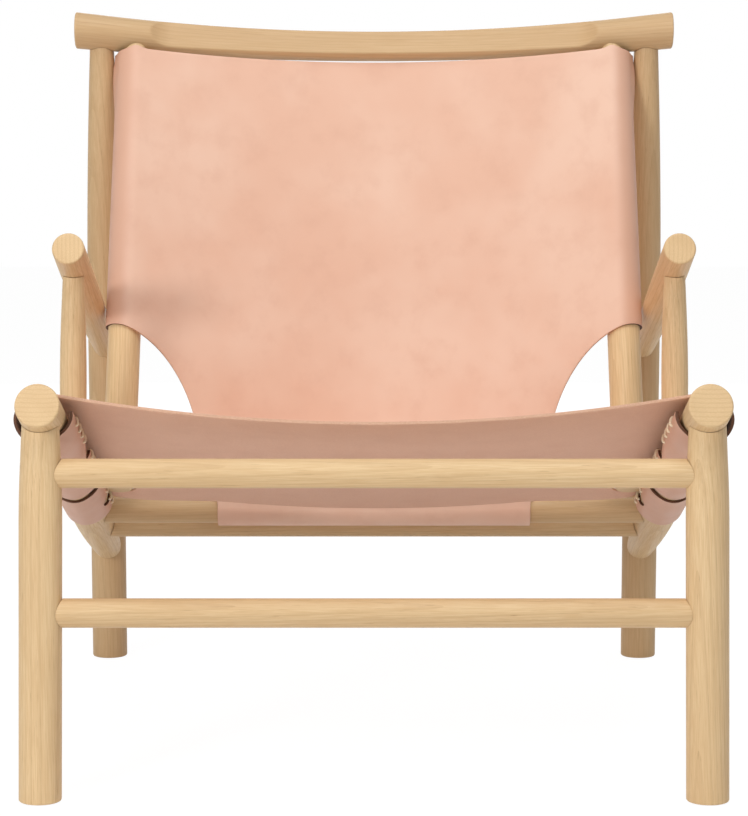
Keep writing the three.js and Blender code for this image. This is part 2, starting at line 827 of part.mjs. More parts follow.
/** Where the middle of the back, coming down from its top edge, touches its wrap round the rear rail. */
function tongueStart() {
  const way = tongueBar.clone().sub(backTop);
  const turn = Math.asin(tongueRadius / way.length());
  const reach = Math.sqrt(way.lengthSq() - tongueRadius ** 2);
  return backTop.clone().add(way.rotateAround(new THREE.Vector2(), turn).setLength(reach));
}

const tongueTop = tongueStart();
const backMiddleAt = (rise) => THREE.MathUtils.mapLinear(rise, tongueTop.y, backTop.y, tongueTop.x, backTop.x);
const backHalfSpan = (rise) => sideX(poleFootHeight + rise * Math.cos(backAngle)) - poleInset;

function backSection(rise) {
  return {
    halfSpan: backHalfSpan(rise), radius: backRadius, middle: backMiddleAt(rise), turn: backFlapTurn,
  };
}

/** Height of the back's hem at a place across: an elliptic cut that starts level on the sleeve's outside. */
function hemRise(x) {
  const outside = backHalfSpan(cornerCutCentre + cornerCutHeight) + backRadius;
  const inward = Math.max(0, outside - Math.abs(x)) / cornerCutWidth;
  return cornerCutCentre + cornerCutHeight * Math.sqrt(1 - Math.min(1, inward) ** 2);
}

/** The back's upper rows, from the hem to the edge under the crest rail, with the sleeves. */
function upperBackRows() {
  const rows = [];
  const hemSection = backSection(cornerCutCentre + cornerCutHeight);
  const { edge } = slung(hemSection.halfSpan, hemSection.radius, hemSection.middle);
  for (let i = 0; i <= backUpperRows; i++) {
    rows.push(slingColumns().map((column) => {
      const [hemX] = acrossSling(column, hemSection);
      const isBehind = column.side !== 0 && column.wrap > 1 / 2;
      const low = hemRise(isBehind ? Infinity : Math.max(edge, Math.abs(hemX)));
      const high = crestRise - crestHalfHeight(hemX) - backTopGap;
      const rise = THREE.MathUtils.lerp(low, high, i / backUpperRows);
      const [x, front] = acrossSling(column, backSection(rise));
      return onBack(x, front, rise);
    }));
  }
  return { rows, edge };
}

/** A row of the panel below the hem, where nothing but the sheet's own stiffness keeps its bow. */
function lowerBackRow(rise, halfWidth, hem) {
  const section = backSection(rise);
  const { curvature } = slung(section.halfSpan, section.radius, section.middle);
  const bow = curvature * THREE.MathUtils.smoothstep(rise, tongueTop.y, hem);
  return slingColumns().map((column) => {
    if (column.side !== 0) return null;
    const x = column.across * halfWidth;
    return onBack(x, section.middle + bow * x * x, rise);
  });
}

/** The rows between the hem and the rear rail: the elliptic corner cuts, then the tongue. */
function lowerBackRows(edge) {
  const rows = [];
  const hem = hemRise(edge);
  const outside = backHalfSpan(cornerCutCentre + cornerCutHeight) + backRadius;
  const waist = outside - cornerCutWidth;
  for (let i = 1; i < tongueRows; i++) {
    const share = i / tongueRows;
    const rise = THREE.MathUtils.lerp(tongueTop.y, cornerCutCentre, share);
    rows.push(lowerBackRow(rise, THREE.MathUtils.lerp(tongueHalfWidth, waist, share ** 2), hem));
  }
  const hemAngle = Math.asin((hem - cornerCutCentre) / cornerCutHeight);
  for (let i = 0; i < cornerRows; i++) {
    const angle = hemAngle * i / cornerRows;
    const rise = cornerCutCentre + cornerCutHeight * Math.sin(angle);
    rows.push(lowerBackRow(rise, outside - cornerCutWidth * Math.cos(angle), hem));
  }
  return rows;
}

/** The rows round the rear rail, from the tongue's end to the place where it comes down in front. */
function tongueRowsRoundRail() {
  const rows = [];
  const start = tongueTop.clone().sub(tongueBar);
  for (let i = tongueWrapSteps; i >= 0; i--) {
    const turned = start.clone().rotateAround(new THREE.Vector2(), -tongueTurn * i / tongueWrapSteps);
    const place = turned.add(tongueBar);
    rows.push(slingColumns().map((column) => (
      column.side === 0 ? onBack(column.across * tongueHalfWidth, place.x, place.y) : null
    )));
  }
  return rows;
}

function backSling() {
  const { rows, edge } = upperBackRows();
  return sheet([...tongueRowsRoundRail(), ...lowerBackRows(edge), ...rows]);
}

// The chair

const chair = new THREE.Group();
const pieces = new THREE.Group();
chair.add(pieces);

function addPiece(name, shape, material) {
  const { vertProperties, triVerts } = shape.getMesh();
  const geometry = new THREE.BufferGeometry();
  geometry.setAttribute('position', new THREE.BufferAttribute(vertProperties, 3));
  geometry.setIndex(new THREE.BufferAttribute(triVerts, 1));
  geometry.computeVertexNormals();
  const mesh = new THREE.Mesh(geometry, material);
  mesh.name = name;
  pieces.add(mesh);
}

for (const [hand, side] of [['left', -1], ['right', 1]]) {
  addPiece(`front_leg_${hand}`, frontLeg(side), oak);
  addPiece(`rear_post_${hand}`, rearPost(side), oak);
  addPiece(`side_rail_${hand}`, sideRail(side), oak);
  addPiece(`arm_post_${hand}`, armPost(side), oak);
  addPiece(`armrest_${hand}`, armrest(side), oak);
  addPiece(`back_pole_${hand}`, backPole(side), oak);
  addPiece(`pole_pin_${hand}`, polePinShape(side), steel);
  addPiece(`floor_glide_front_${hand}`, glideShape(side, frontLegY), blackFelt);
  addPiece(`floor_glide_rear_${hand}`, glideShape(side, rearFootY), blackFelt);
}
addPiece('crest_rail', crestRail(), oak);
addPiece('front_rail_upper', frontRail(upperFrontRailHeight), oak);
addPiece('front_rail_lower', frontRail(lowerFrontRailHeight), oak);
addPiece('rear_rail_front', rearRail(rearRailFrontY), oak);
addPiece('rear_rail_back', rearRail(rearRailBackY), oak);
addPiece('seat_sling', seatSling(), leather);
addPiece('back_sling', backSling(), leather);

// The origin goes under the middle of the chair's depth, between the rails' front ends and the rear feet
const frontmostY = -railRadius * Math.sin(railAngle);
const rearmostY = rearFootY + rearPostRadius * Math.hypot(1, postSlope);
pieces.position.y = -(frontmostY + rearmostY) / 2;

export default chair;
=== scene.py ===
"""Leather sling lounge chair: turned oak dowels, two leather slings and their lacing, set up for a picture.

Lengths are in metres, +X is right, +Y is back and +Z is up. Pieces are worked out from a point on the floor
between the side rails' front ends, as the solids are, and then moved so that the chair stands over the
origin.
"""

import logging
from collections.abc import Callable, Sequence
from dataclasses import dataclass
from enum import Enum
from math import atan, cos, exp, hypot, inf, pi, radians, sin, sqrt, tan

import bmesh
import bpy
from mathutils import Matrix, Vector


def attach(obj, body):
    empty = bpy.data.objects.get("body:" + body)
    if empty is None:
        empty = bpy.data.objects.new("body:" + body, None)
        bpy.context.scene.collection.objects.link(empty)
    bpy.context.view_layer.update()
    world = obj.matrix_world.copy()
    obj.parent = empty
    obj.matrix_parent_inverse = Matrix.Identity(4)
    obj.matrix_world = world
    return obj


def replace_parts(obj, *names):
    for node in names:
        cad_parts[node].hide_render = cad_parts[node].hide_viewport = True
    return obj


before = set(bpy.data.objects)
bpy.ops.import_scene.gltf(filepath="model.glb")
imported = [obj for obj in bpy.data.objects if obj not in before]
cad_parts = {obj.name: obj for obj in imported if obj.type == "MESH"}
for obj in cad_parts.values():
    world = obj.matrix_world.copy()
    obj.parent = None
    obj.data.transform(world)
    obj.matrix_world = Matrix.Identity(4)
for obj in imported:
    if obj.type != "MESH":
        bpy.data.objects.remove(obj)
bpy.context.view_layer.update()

log = logging.getLogger("chair")

BODY = "root"
SIDES = (("left", -1), ("right", 1))
MERGE_DISTANCE = 1e-6
GRAIN = "grain"
WRAPPED = "wrapped"
SHADE = "shade"
TANGENT_STEPS = 40


# Set-out


def smoothstep(value: float, low: float, high: float) -> float:
    """Share of the way from low to high, eased at both ends."""
    share = min(1.0, max(0.0, (value - low) / (high - low)))
    return share * share * (3 - 2 * share)


def mix(a: float, b: float, share: float) -> float:
    """Value at a share of the way from a to b."""
    return a + (b - a) * share


@dataclass(frozen=True)
class SetOut:
    """The lines that the chair's pieces share, from the floor between the side rails' front ends."""

    floor_half_width: float = 0.343
    side_lean: float = radians(0.8)
    rail_front_height: float = 0.4127
    rail_angle: float = radians(19.55)
    rail_radius: float = 0.02275
    front_leg_y: float = 0.0305
    upper_front_rail_drop: float = 0.06177
    front_rail_spacing: float = 0.1437
    rear_foot_y: float = 0.776
    rear_post_radius: float = 0.0221
    rear_rail_front_y: float = 0.514
    rear_rail_back_y: float = 0.599
    cross_rail_radius: float = 0.015
    arm_post_y: float = 0.332
    armrest_front_y: float = 0.2765
    armrest_front_height: float = 0.5554
    armrest_angle: float = radians(19.33)
    armrest_radius: float = 0.0182
    crest_half_length: float = 0.3625
    crest_bow: float = 0.0485
    crest_y: float = 0.6505
    crest_height: float = 0.7952
    crest_radius: float = 0.022
    back_angle: float = radians(22.46)
    pole_inset: float = 0.0415
    pole_radius: float = 0.01925
    pole_foot_rise: float = 0.00202
    fit: float = 0.0003
    leather: float = 0.003

    def side_x(self, height: float) -> float:
        """Distance of a side frame's axes from the middle of the chair: the frames lean in."""
        return self.floor_half_width - height * tan(self.side_lean)

    def on_side(self, side: int, y: float, z: float, inset: float = 0.0) -> Vector:
        """A point in a side frame; side is -1 for the left one and 1 for the right one."""
        return Vector((side * (self.side_x(z) - inset), y, z))

    def rail_height(self, y: float) -> float:
        """Height of the side rails' axes."""
        return self.rail_front_height - y * tan(self.rail_angle)

    def armrest_height(self, y: float) -> float:
        """Height of the armrests' axes."""
        return self.armrest_front_height - (y - self.armrest_front_y) * tan(self.armrest_angle)

    @property
    def pole_x(self) -> float:
        """Distance of a back pole from the middle at the crest rail."""
        return self.side_x(self.crest_height) - self.pole_inset

    def crest_bow_at(self, x: float) -> float:
        """How far the crest rail's axis lies behind its ends."""
        return self.crest_bow * (1 - (x / self.crest_half_length) ** 2)

    def crest_point(self, x: float) -> Vector:
        """A point on the crest rail's axis, which bows in a plane square to the back poles."""
        back = self.crest_bow_at(x) - self.crest_bow_at(self.pole_x)
        return Vector((
            x,
            self.crest_y + back * cos(self.back_angle),
            self.crest_height - back * sin(self.back_angle),
        ))

    @property
    def post_top(self) -> Vector:
        """Where a rear post's axis meets the crest rail's."""
        return self.crest_point(self.side_x(self.crest_height))

    @property
    def post_slope(self) -> float:
        """How far the rear posts lean to the front for each unit of height."""
        return (self.rear_foot_y - self.post_top.y) / self.post_top.z

    def meet_post(self, front_y: float, front_height: float, angle: float) -> float:
        """Y where a line that slopes down to the back meets the rear posts' axes.

        Args:
            front_y: Y of a point of the line.
            front_height: that point's height.
            angle: how steeply the line slopes.

        Returns:
            The Y of the meeting point.
        """
        drop = tan(angle)
        slope = self.post_slope
        return (self.rear_foot_y - slope * (front_height + drop * front_y)) / (1 - slope * drop)

    @property
    def rail_end(self) -> float:
        """Y where the side rails' axes meet the rear posts'."""
        return self.meet_post(0.0, self.rail_front_height, self.rail_angle)

    @property
    def armrest_end(self) -> float:
        """Y where the armrests' axes meet the rear posts'."""
        return self.meet_post(self.armrest_front_y, self.armrest_front_height, self.armrest_angle)

    @property
    def pole_foot_height(self) -> float:
        """Height at which the back poles come down to just above the side rails' axes."""
        lean, drop = tan(self.back_angle), tan(self.rail_angle)
        start = self.rail_height(self.crest_y - self.crest_height * lean)
        return (start + self.pole_foot_rise) / (1 + lean * drop)

    @property
    def pole_foot_y(self) -> float:
        """Y of the back poles' feet."""
        return self.crest_y - (self.crest_height - self.pole_foot_height) * tan(self.back_angle)

    @property
    def crest_rise(self) -> float:
        """Distance up the back poles from their feet to the crest rail's axis."""
        return (self.crest_height - self.pole_foot_height) / cos(self.back_angle)

    def on_back(self, x: float, front: float, rise: float) -> Vector:
        """A point of the back, from its place across, before the poles' axes and up from their feet."""
        return Vector((
            x,
            self.pole_foot_y + rise * sin(self.back_angle) - front * cos(self.back_angle),
            self.pole_foot_height + rise * cos(self.back_angle) + front * sin(self.back_angle),
        ))

    def on_seat(self, x: float, above: float, station: float) -> Vector:
        """A point of the seat, from its place across, above the rails' axes and along them."""
        return Vector((
            x,
            station * cos(self.rail_angle) + above * sin(self.rail_angle),
            self.rail_front_height - station * sin(self.rail_angle) + above * cos(self.rail_angle),
        ))

    @property
    def middle_shift(self) -> Vector:
        """The move that brings the middle of the chair's depth over the origin."""
        frontmost = -self.rail_radius * sin(self.rail_angle)
        rearmost = self.rear_foot_y + self.rear_post_radius * hypot(1, self.post_slope)
        return Vector((0.0, -(frontmost + rearmost) / 2, 0.0))


# Finishes


class Nodes:
    """A material's node tree, with short calls to add and join its nodes."""

    def __init__(self, name: str) -> None:
        """Starts a material with a shader and an output.

        Args:
            name: the material's name.
        """
        self.material = bpy.data.materials.new(name)
        self.material.use_nodes = True
        self.tree = self.material.node_tree
        self.shader = self.tree.nodes["Principled BSDF"]

    def add(self, kind: str, settings: dict | None = None, **sockets: object) -> bpy.types.Node:
        """Adds a node.

        Args:
            kind: the node's type, without its ShaderNode prefix.
            settings: the node's own properties.
            sockets: values or output sockets for its inputs, by name with _ for a space.

        Returns:
            The new node.
        """
        node = self.tree.nodes.new(f"ShaderNode{kind}")
        for key, value in (settings or {}).items():
            setattr(node, key, value)
        for key, value in sockets.items():
            self.feed(node.inputs[key.replace("_", " ")], value)
        return node

    def feed(self, socket: bpy.types.NodeSocket, value: object) -> None:
        """Links an output to a socket, or sets the socket's own value.

        Args:
            socket: an input.
            value: an output, or a value of the input's own.
        """
        if isinstance(value, bpy.types.NodeSocket):
            self.tree.links.new(value, socket)
        else:
            socket.default_value = value

    def shade(self, **sockets: object) -> None:
        """Feeds the shader's sockets, by name with _ for a space."""
        for key, value in sockets.items():
            self.feed(self.shader.inputs[key.replace("_", " ")], value)

    def attribute(self, name: str, output: str = "Fac") -> bpy.types.NodeSocket:
        """A piece's own attribute, as a number or in another of its outputs."""
        return self.add("Attribute", {"attribute_name": name}).outputs[output]

    def object_place(self) -> bpy.types.NodeSocket:
        """A point's place in its object."""
        return self.add("TexCoord").outputs["Object"]

    def stretched(self, source: bpy.types.NodeSocket, scale: Sequence[float]) -> bpy.types.NodeSocket:
        """A coordinate scaled along its axes."""
        return self.add("Mapping", Vector=source, Scale=scale).outputs["Vector"]

    def noise(self, source: bpy.types.NodeSocket, scale: float, detail: float = 2.0,
              roughness: float = 0.5) -> bpy.types.NodeSocket:
        """The grey value of a noise texture."""
        return self.add(
            "TexNoise", Vector=source, Scale=scale, Detail=detail, Roughness=roughness,
        ).outputs["Fac"]

    def ramp(self, value: bpy.types.NodeSocket, low: float, high: float, to_low: float = 0.0,
             to_high: float = 1.0) -> bpy.types.NodeSocket:
        """A value mapped smoothly from one range to another.

        Args:
            value: the value.
            low: start of its own range.
            high: end of its own range.
            to_low: start of the range it goes to.
            to_high: end of the range it goes to.

        Returns:
            The mapped value.
        """
        node = self.add("MapRange", {"interpolation_type": "SMOOTHSTEP"}, Value=value)
        for key, number in (("From Min", low), ("From Max", high), ("To Min", to_low), ("To Max", to_high)):
            node.inputs[key].default_value = number
        return node.outputs["Result"]

    def math(self, operation: str, a: object, b: object) -> bpy.types.NodeSocket:
        """The result of a sum on two values.

        Args:
            operation: the sum, such as ADD or MULTIPLY.
            a: the first value.
            b: the second value.

        Returns:
            The result.
        """
        node = self.add("Math", {"operation": operation})
        self.feed(node.inputs[0], a)
        self.feed(node.inputs[1], b)
        return node.outputs[0]

    def blend(self, share: object, a: object, b: object) -> bpy.types.NodeSocket:
        """A colour at a share of the way from a to b.

        Args:
            share: the share, a number or an output.
            a: the colour at 0.
            b: the colour at 1.

        Returns:
            The mixed colour.
        """
        node = self.add("Mix", {"data_type": "RGBA"})
        self.feed(node.inputs["Factor"], share)
        self.feed(node.inputs["A"], a)
        self.feed(node.inputs["B"], b)
        return node.outputs["Result"]

    def bump(self, height: bpy.types.NodeSocket, strength: float, distance: float) -> bpy.types.NodeSocket:
        """A surface normal bent by a height."""
        return self.add("Bump", Height=height, Strength=strength, Distance=distance).outputs["Normal"]


Colour = tuple[float, float, float, float]


def srgb(red: int, green: int, blue: int) -> Colour:
    """A screen colour, given in 0 to 255, as the linear one that shaders take.

    Args:
        red: its red.
        green: its green.
        blue: its blue.

    Returns:
        The linear colour, with full alpha.
    """
    linear = []
    for channel in (red, green, blue):
        share = channel / 255
        linear.append(share / 12.92 if share <= 0.04045 else ((share + 0.055) / 1.055) ** 2.4)
    return (linear[0], linear[1], linear[2], 1.0)


@dataclass(frozen=True)
class OakFinish:
    """Oiled oak, its growth rings and pores laid along each dowel by the grain attribute."""

    pale: Colour = srgb(230, 200, 155)
    mid: Colour = srgb(219, 185, 138)
    ring: Colour = srgb(202, 166, 120)
    pore: Colour = srgb(176, 138, 96)
    darker_tone_and_shade: Colour = srgb(176, 138, 98)
    ring_spacing: float = 0.0046
    fibre_width: float = 0.0011
    pore_width: float = 0.0007
    length_share: float = 0.022
    drift_stretch: float = 0.16
    drift_scale: float = 24.0
    late_share: float = 0.4

    def material(self) -> bpy.types.Material:
        """Builds the oak.

        Returns:
            The material.
        """
        nodes = Nodes("oak_oiled")
        grain = nodes.attribute(GRAIN, "Vector")
        drawn = nodes.stretched(grain, (1.0, 1.0, self.length_share))
        rings = nodes.add(
            "TexWave", {"wave_type": "RINGS", "rings_direction": "Z", "wave_profile": "SAW"},
            Vector=drawn, Scale=pi / 10 / self.ring_spacing, Distortion=2.4, Detail=2.0,
            Detail_Scale=0.3, Detail_Roughness=0.5,
        ).outputs["Fac"]
        fibres = nodes.noise(drawn, 1 / self.fibre_width, detail=3.0, roughness=0.62)
        drift = nodes.noise(nodes.stretched(grain, (1.0, 1.0, self.drift_stretch)), self.drift_scale)
        pores = nodes.ramp(nodes.noise(drawn, 1 / self.pore_width, detail=1.0, roughness=0.4), 0.66, 0.76)
        late = nodes.ramp(rings, 0.55, 1.0)
        tone = nodes.blend(nodes.ramp(fibres, 0.32, 0.68), self.pale, self.mid)
        tone = nodes.blend(nodes.math("MULTIPLY", late, self.late_share), tone, self.ring)
        tone = nodes.blend(nodes.ramp(drift, 0.42, 0.72, to_high=0.3), tone, self.ring)
        pored = nodes.math("MULTIPLY", pores, nodes.math("ADD", nodes.math("MULTIPLY", late, 0.5), 0.35))
        tone = nodes.blend(pored, tone, self.pore)
        # A piece's shade darkens its oak; the larger values, on the crest rail, the rear posts and the rear
        # cross rails, are painted shade.
        shade = nodes.attribute(SHADE)
        tone = nodes.blend(shade, tone, self.darker_tone_and_shade)
        relief = nodes.math("SUBTRACT", nodes.math("MULTIPLY", fibres, 0.4), pored)
        nodes.shade(
            Base_Color=tone,
            Roughness=nodes.ramp(fibres, 0.3, 0.7, to_low=0.47, to_high=0.6),
            Specular_IOR_Level=0.38,
            Normal=nodes.bump(relief, strength=0.22, distance=0.0003),
        )
        return nodes.material


class LeatherFace(Enum):
    """The three faces of a piece of hide."""

    GRAIN = "grain"
    FLESH = "flesh"
    EDGE = "edge"


@dataclass(frozen=True)
class LeatherFinish:
    """Natural vegetable-tanned leather: a smooth grain side, a suede flesh side and a raw cut edge."""

    light: Colour = srgb(234, 195, 172)
    body: Colour = srgb(228, 183, 158)
    flush: Colour = srgb(219, 172, 148)
    painted_wrap_shade: Colour = srgb(212, 165, 140)
    flesh: Colour = srgb(238, 195, 170)
    flesh_dark: Colour = srgb(224, 176, 150)
    edge: Colour = srgb(226, 186, 160)
    edge_dark: Colour = srgb(196, 150, 122)
    painted_gap_shade: Colour = srgb(92, 60, 42)
    pebble: float = 0.0011
    cloud: float = 0.16
    blotch: float = 0.035
    wrap_shade_share: float = 0.85
    fine_scale: float = 2600.0
    nap_scale: float = 900.0
    edge_scale: float = 1400.0

    def material(self, face: LeatherFace) -> bpy.types.Material:
        """Builds the finish of one face.

        Args:
            face: the side of the hide.

        Returns:
            The material.
        """
        nodes = Nodes(f"leather_{face.value}")
        place = nodes.object_place()
        if face is LeatherFace.GRAIN:
            self._grain_side(nodes, place)
        elif face is LeatherFace.FLESH:
            self._flesh_side(nodes, place)
        else:
            self._cut_edge(nodes, place)
        return nodes.material

    def _blotches(self, nodes: Nodes, place: bpy.types.NodeSocket) -> bpy.types.NodeSocket:
        """Where the hide is patchy."""
        return nodes.noise(place, 1 / self.blotch, detail=4.0, roughness=0.6)

    def _grain_side(self, nodes: Nodes, place: bpy.types.NodeSocket) -> None:
        """Colour, gloss and pebble of the smooth side, with painted shade on its wraps.

        Args:
            nodes: the material's nodes.
            place: a point's place in its object.
        """
        clouds = nodes.noise(place, 1 / self.cloud, detail=3.0, roughness=0.55)
        blotches = self._blotches(nodes, place)
        tone = nodes.blend(nodes.ramp(clouds, 0.35, 0.65), self.light, self.body)
        tone = nodes.blend(nodes.ramp(blotches, 0.45, 0.75, to_high=0.35), tone, self.flush)
        # Painted shade: darker where the sheet wraps round a bar and turns away from the light.
        wrapped = nodes.attribute(WRAPPED)
        tone = nodes.blend(nodes.math("MULTIPLY", wrapped, self.wrap_shade_share), tone, self.painted_wrap_shade)
        cells = nodes.add(
            "TexVoronoi", {"feature": "SMOOTH_F1"}, Vector=place, Scale=1 / self.pebble,
        ).outputs["Distance"]
        fine = nodes.noise(place, self.fine_scale)
        relief = nodes.math("ADD", nodes.math("MULTIPLY", cells, 0.7), nodes.math("MULTIPLY", fine, 0.3))
        nodes.shade(
            Base_Color=tone,
            Roughness=nodes.ramp(blotches, 0.35, 0.7, to_low=0.5, to_high=0.62),
            Specular_IOR_Level=0.42,
            Normal=nodes.bump(relief, strength=0.16, distance=0.0002),
        )

    def _flesh_side(self, nodes: Nodes, place: bpy.types.NodeSocket) -> None:
        """Colour and nap of the suede side, with painted shade inside its wraps.

        Args:
            nodes: the material's nodes.
            place: a point's place in its object.
        """
        blotches = self._blotches(nodes, place)
        nap = nodes.noise(place, self.nap_scale, detail=4.0, roughness=0.7)
        tone = nodes.blend(nodes.ramp(nap, 0.35, 0.7), self.flesh, self.flesh_dark)
        tone = nodes.blend(nodes.ramp(blotches, 0.4, 0.75, to_high=0.4), tone, self.flesh_dark)
        # Painted shade: inside a wrap the flesh side goes dark brown, as in the shadowed gap round its bar.
        wrapped = nodes.attribute(WRAPPED)
        tone = nodes.blend(wrapped, tone, self.painted_gap_shade)
        nodes.shade(
            Base_Color=tone, Roughness=0.88, Specular_IOR_Level=0.2, Sheen_Weight=0.12,
            Normal=nodes.bump(nap, strength=0.4, distance=0.0004),
        )

    def _cut_edge(self, nodes: Nodes, place: bpy.types.NodeSocket) -> None:
        """Colour and fibre of a raw edge, with painted shade along its wraps.

        Args:
            nodes: the material's nodes.
            place: a point's place in its object.
        """
        fibre = nodes.noise(place, self.edge_scale, detail=3.0, roughness=0.65)
        tone = nodes.blend(nodes.ramp(fibre, 0.3, 0.7), self.edge, self.edge_dark)
        # Painted shade: along a wrap the cut edge goes dark brown, as in the shadowed gap round its bar.
        wrapped = nodes.attribute(WRAPPED)
        tone = nodes.blend(wrapped, tone, self.painted_gap_shade)
        nodes.shade(
            Base_Color=tone, Roughness=0.7, Specular_IOR_Level=0.3,
            Normal=nodes.bump(fibre, strength=0.35, distance=0.0003),
        )


@dataclass(frozen=True)
class CordFinish:
    """Waxed linen thread."""

    pale: Colour = srgb(255, 244, 220)
    dark: Colour = srgb(236, 214, 178)
    twist_scale: float = 1500.0

    def material(self) -> bpy.types.Material:
        """Builds the thread's finish.

        Returns:
            The material.
        """
        nodes = Nodes("linen_thread")
        place = nodes.object_place()
        twist = nodes.noise(place, self.twist_scale, detail=2.0, roughness=0.6)
        nodes.shade(
            Base_Color=nodes.blend(nodes.ramp(twist, 0.35, 0.65), self.pale, self.dark),
            Roughness=nodes.ramp(twist, 0.3, 0.7, to_low=0.5, to_high=0.7),
            Normal=nodes.bump(twist, strength=0.5, distance=0.0003),
        )
        return nodes.material


@dataclass(frozen=True)
class SteelFinish:
    """Ground steel of the pole pins."""

    colour: Colour = srgb(176, 176, 172)
    drawn_out: float = 0.05
    scratch_scale: float = 3000.0

    def material(self) -> bpy.types.Material:
        """Builds the steel.

        Returns:
            The material.
        """
        nodes = Nodes("pin_steel")
        place = nodes.object_place()
        scratches = nodes.noise(nodes.stretched(place, (self.drawn_out, 1.0, 1.0)), self.scratch_scale)
        nodes.shade(
            Base_Color=self.colour, Metallic=1.0,
            Roughness=nodes.ramp(scratches, 0.3, 0.7, to_low=0.28, to_high=0.45),
            Normal=nodes.bump(scratches, strength=0.1, distance=0.0001),
        )
        return nodes.material


@dataclass(frozen=True)
class FeltFinish:
    """Pressed felt of the floor glides."""

    pale: Colour = srgb(98, 92, 86)
    dark: Colour = srgb(58, 54, 50)
    fibre_scale: float = 1300.0

    def material(self) -> bpy.types.Material:
        """Builds the felt.

        Returns:
            The material.
        """
        nodes = Nodes("glide_felt")
        place = nodes.object_place()
        fibre = nodes.noise(place, self.fibre_scale, detail=4.0, roughness=0.7)
        nodes.shade(
            Base_Color=nodes.blend(nodes.ramp(fibre, 0.35, 0.65), self.dark, self.pale),
            Roughness=0.95, Specular_IOR_Level=0.15,
            Normal=nodes.bump(fibre, strength=0.6, distance=0.0005),
        )
        return nodes.material


@dataclass(frozen=True)
class Finishes:
    """Every material of the chair, built once."""

    oak: bpy.types.Material
    grain: bpy.types.Material
    flesh: bpy.types.Material
    edge: bpy.types.Material
    cord: bpy.types.Material
    steel: bpy.types.Material
    felt: bpy.types.Material

    @classmethod
    def build(cls) -> "Finishes":
        """Builds all the finishes.

        Returns:
            The finishes.
        """
        leather = LeatherFinish()
        return cls(
            oak=OakFinish().material(),
            grain=leather.material(LeatherFace.GRAIN),
            flesh=leather.material(LeatherFace.FLESH),
            edge=leather.material(LeatherFace.EDGE),
            cord=CordFinish().material(),
            steel=SteelFinish().material(),
            felt=FeltFinish().material(),
        )


# Making pieces


def put_in_scene(shape: bmesh.types.BMesh, name: str, materials: Sequence[bpy.types.Material],
                 sharp_angle: float = radians(38)) -> bpy.types.Object:
    """Makes an object of a shape and lets it ride on the chair.

    Args:
        shape: the mesh, in its place; it is freed.
        name: the object's name.
        materials: the object's materials, in the order of its faces' indices.
        sharp_angle: edges that turn by more than this are shaded as creases.

    Returns:
        The new object.
    """
    mesh = bpy.data.meshes.new(name)
    shape.to_mesh(mesh)
    shape.free()
    mesh.shade_smooth()
    mesh.set_sharp_from_angle(angle=sharp_angle)
    for material in materials:
        mesh.materials.append(material)
    piece = bpy.data.objects.new(name, mesh)
    bpy.context.scene.collection.objects.link(piece)
    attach(piece, BODY)
    log.info("%s: %d faces", name, len(mesh.polygons))
    return piece


@dataclass(frozen=True)
class Turning:
    """Radii along a dowel's shown length: full in its middle, drawn in along a curve to both ends."""

    first: float
    full: float
    last: float
    full_from: float = 0.0
    full_to: float = 1.0

    def radius(self, share: float) -> float:
        """Radius at a share of the shown length.

        Args:
            share: from 0 at the first end to 1 at the last.

        Returns:
            The radius.
        """
        if share < self.full_from:
            return self.full - (self.full - self.first) * ((self.full_from - share) / self.full_from) ** 2
        if share > self.full_to:
            return self.full - (self.full - self.last) * ((share - self.full_to) / (1 - self.full_to)) ** 2
        return self.full


@dataclass(frozen=True)
class Log:
    """How a dowel was cut from its log: where the pith lies beside it, its slant and its place along it.

    Shade, from 0 to 1, darkens its oak; on the crest rail, rear posts and rear cross rails it is mostly
    painted shade.
    """

    pith: tuple[float, float] = (0.0, 0.09)
    slant: tuple[float, float] = (0.02, 0.01)
    along: float = 0.0
    shade: float = 0.0

    def grain(self, place: Vector) -> Vector:
        """The grain coordinate of a point of a dowel that still stands on the origin."""
        return Vector((
            place.x + self.pith[0] + self.slant[0] * place.z,
            place.y + self.pith[1] + self.slant[1] * place.z,
            place.z + self.along,
        ))


@dataclass(frozen=True)
class Bar:
    """A dowel that takes another one's end: a point on its axis, its direction and its radius."""

    spot: Vector
    way: Vector
    radius: float

    def meet(self, start: Vector, way: Vector, side: int) -> float:
        """How many steps along a line it meets the bar's surface.

        Args:
            start: a point of the line.
            way: one step along the line.
            side: -1 for the surface that is met first, 1 for the one beyond the axis.

        Returns:
            The number of steps; where the line passes beside the bar, that to its point nearest to the
            bar's axis.
        """
        square_way = way - way.dot(self.way) * self.way
        offset = start - self.spot
        square_offset = offset - offset.dot(self.way) * self.way
        nearest = -square_offset.dot(square_way) / square_way.length_squared
        left = self.radius ** 2 - (square_offset + nearest * square_way).length_squared
        return nearest + side * sqrt(max(0.0, left)) / square_way.length


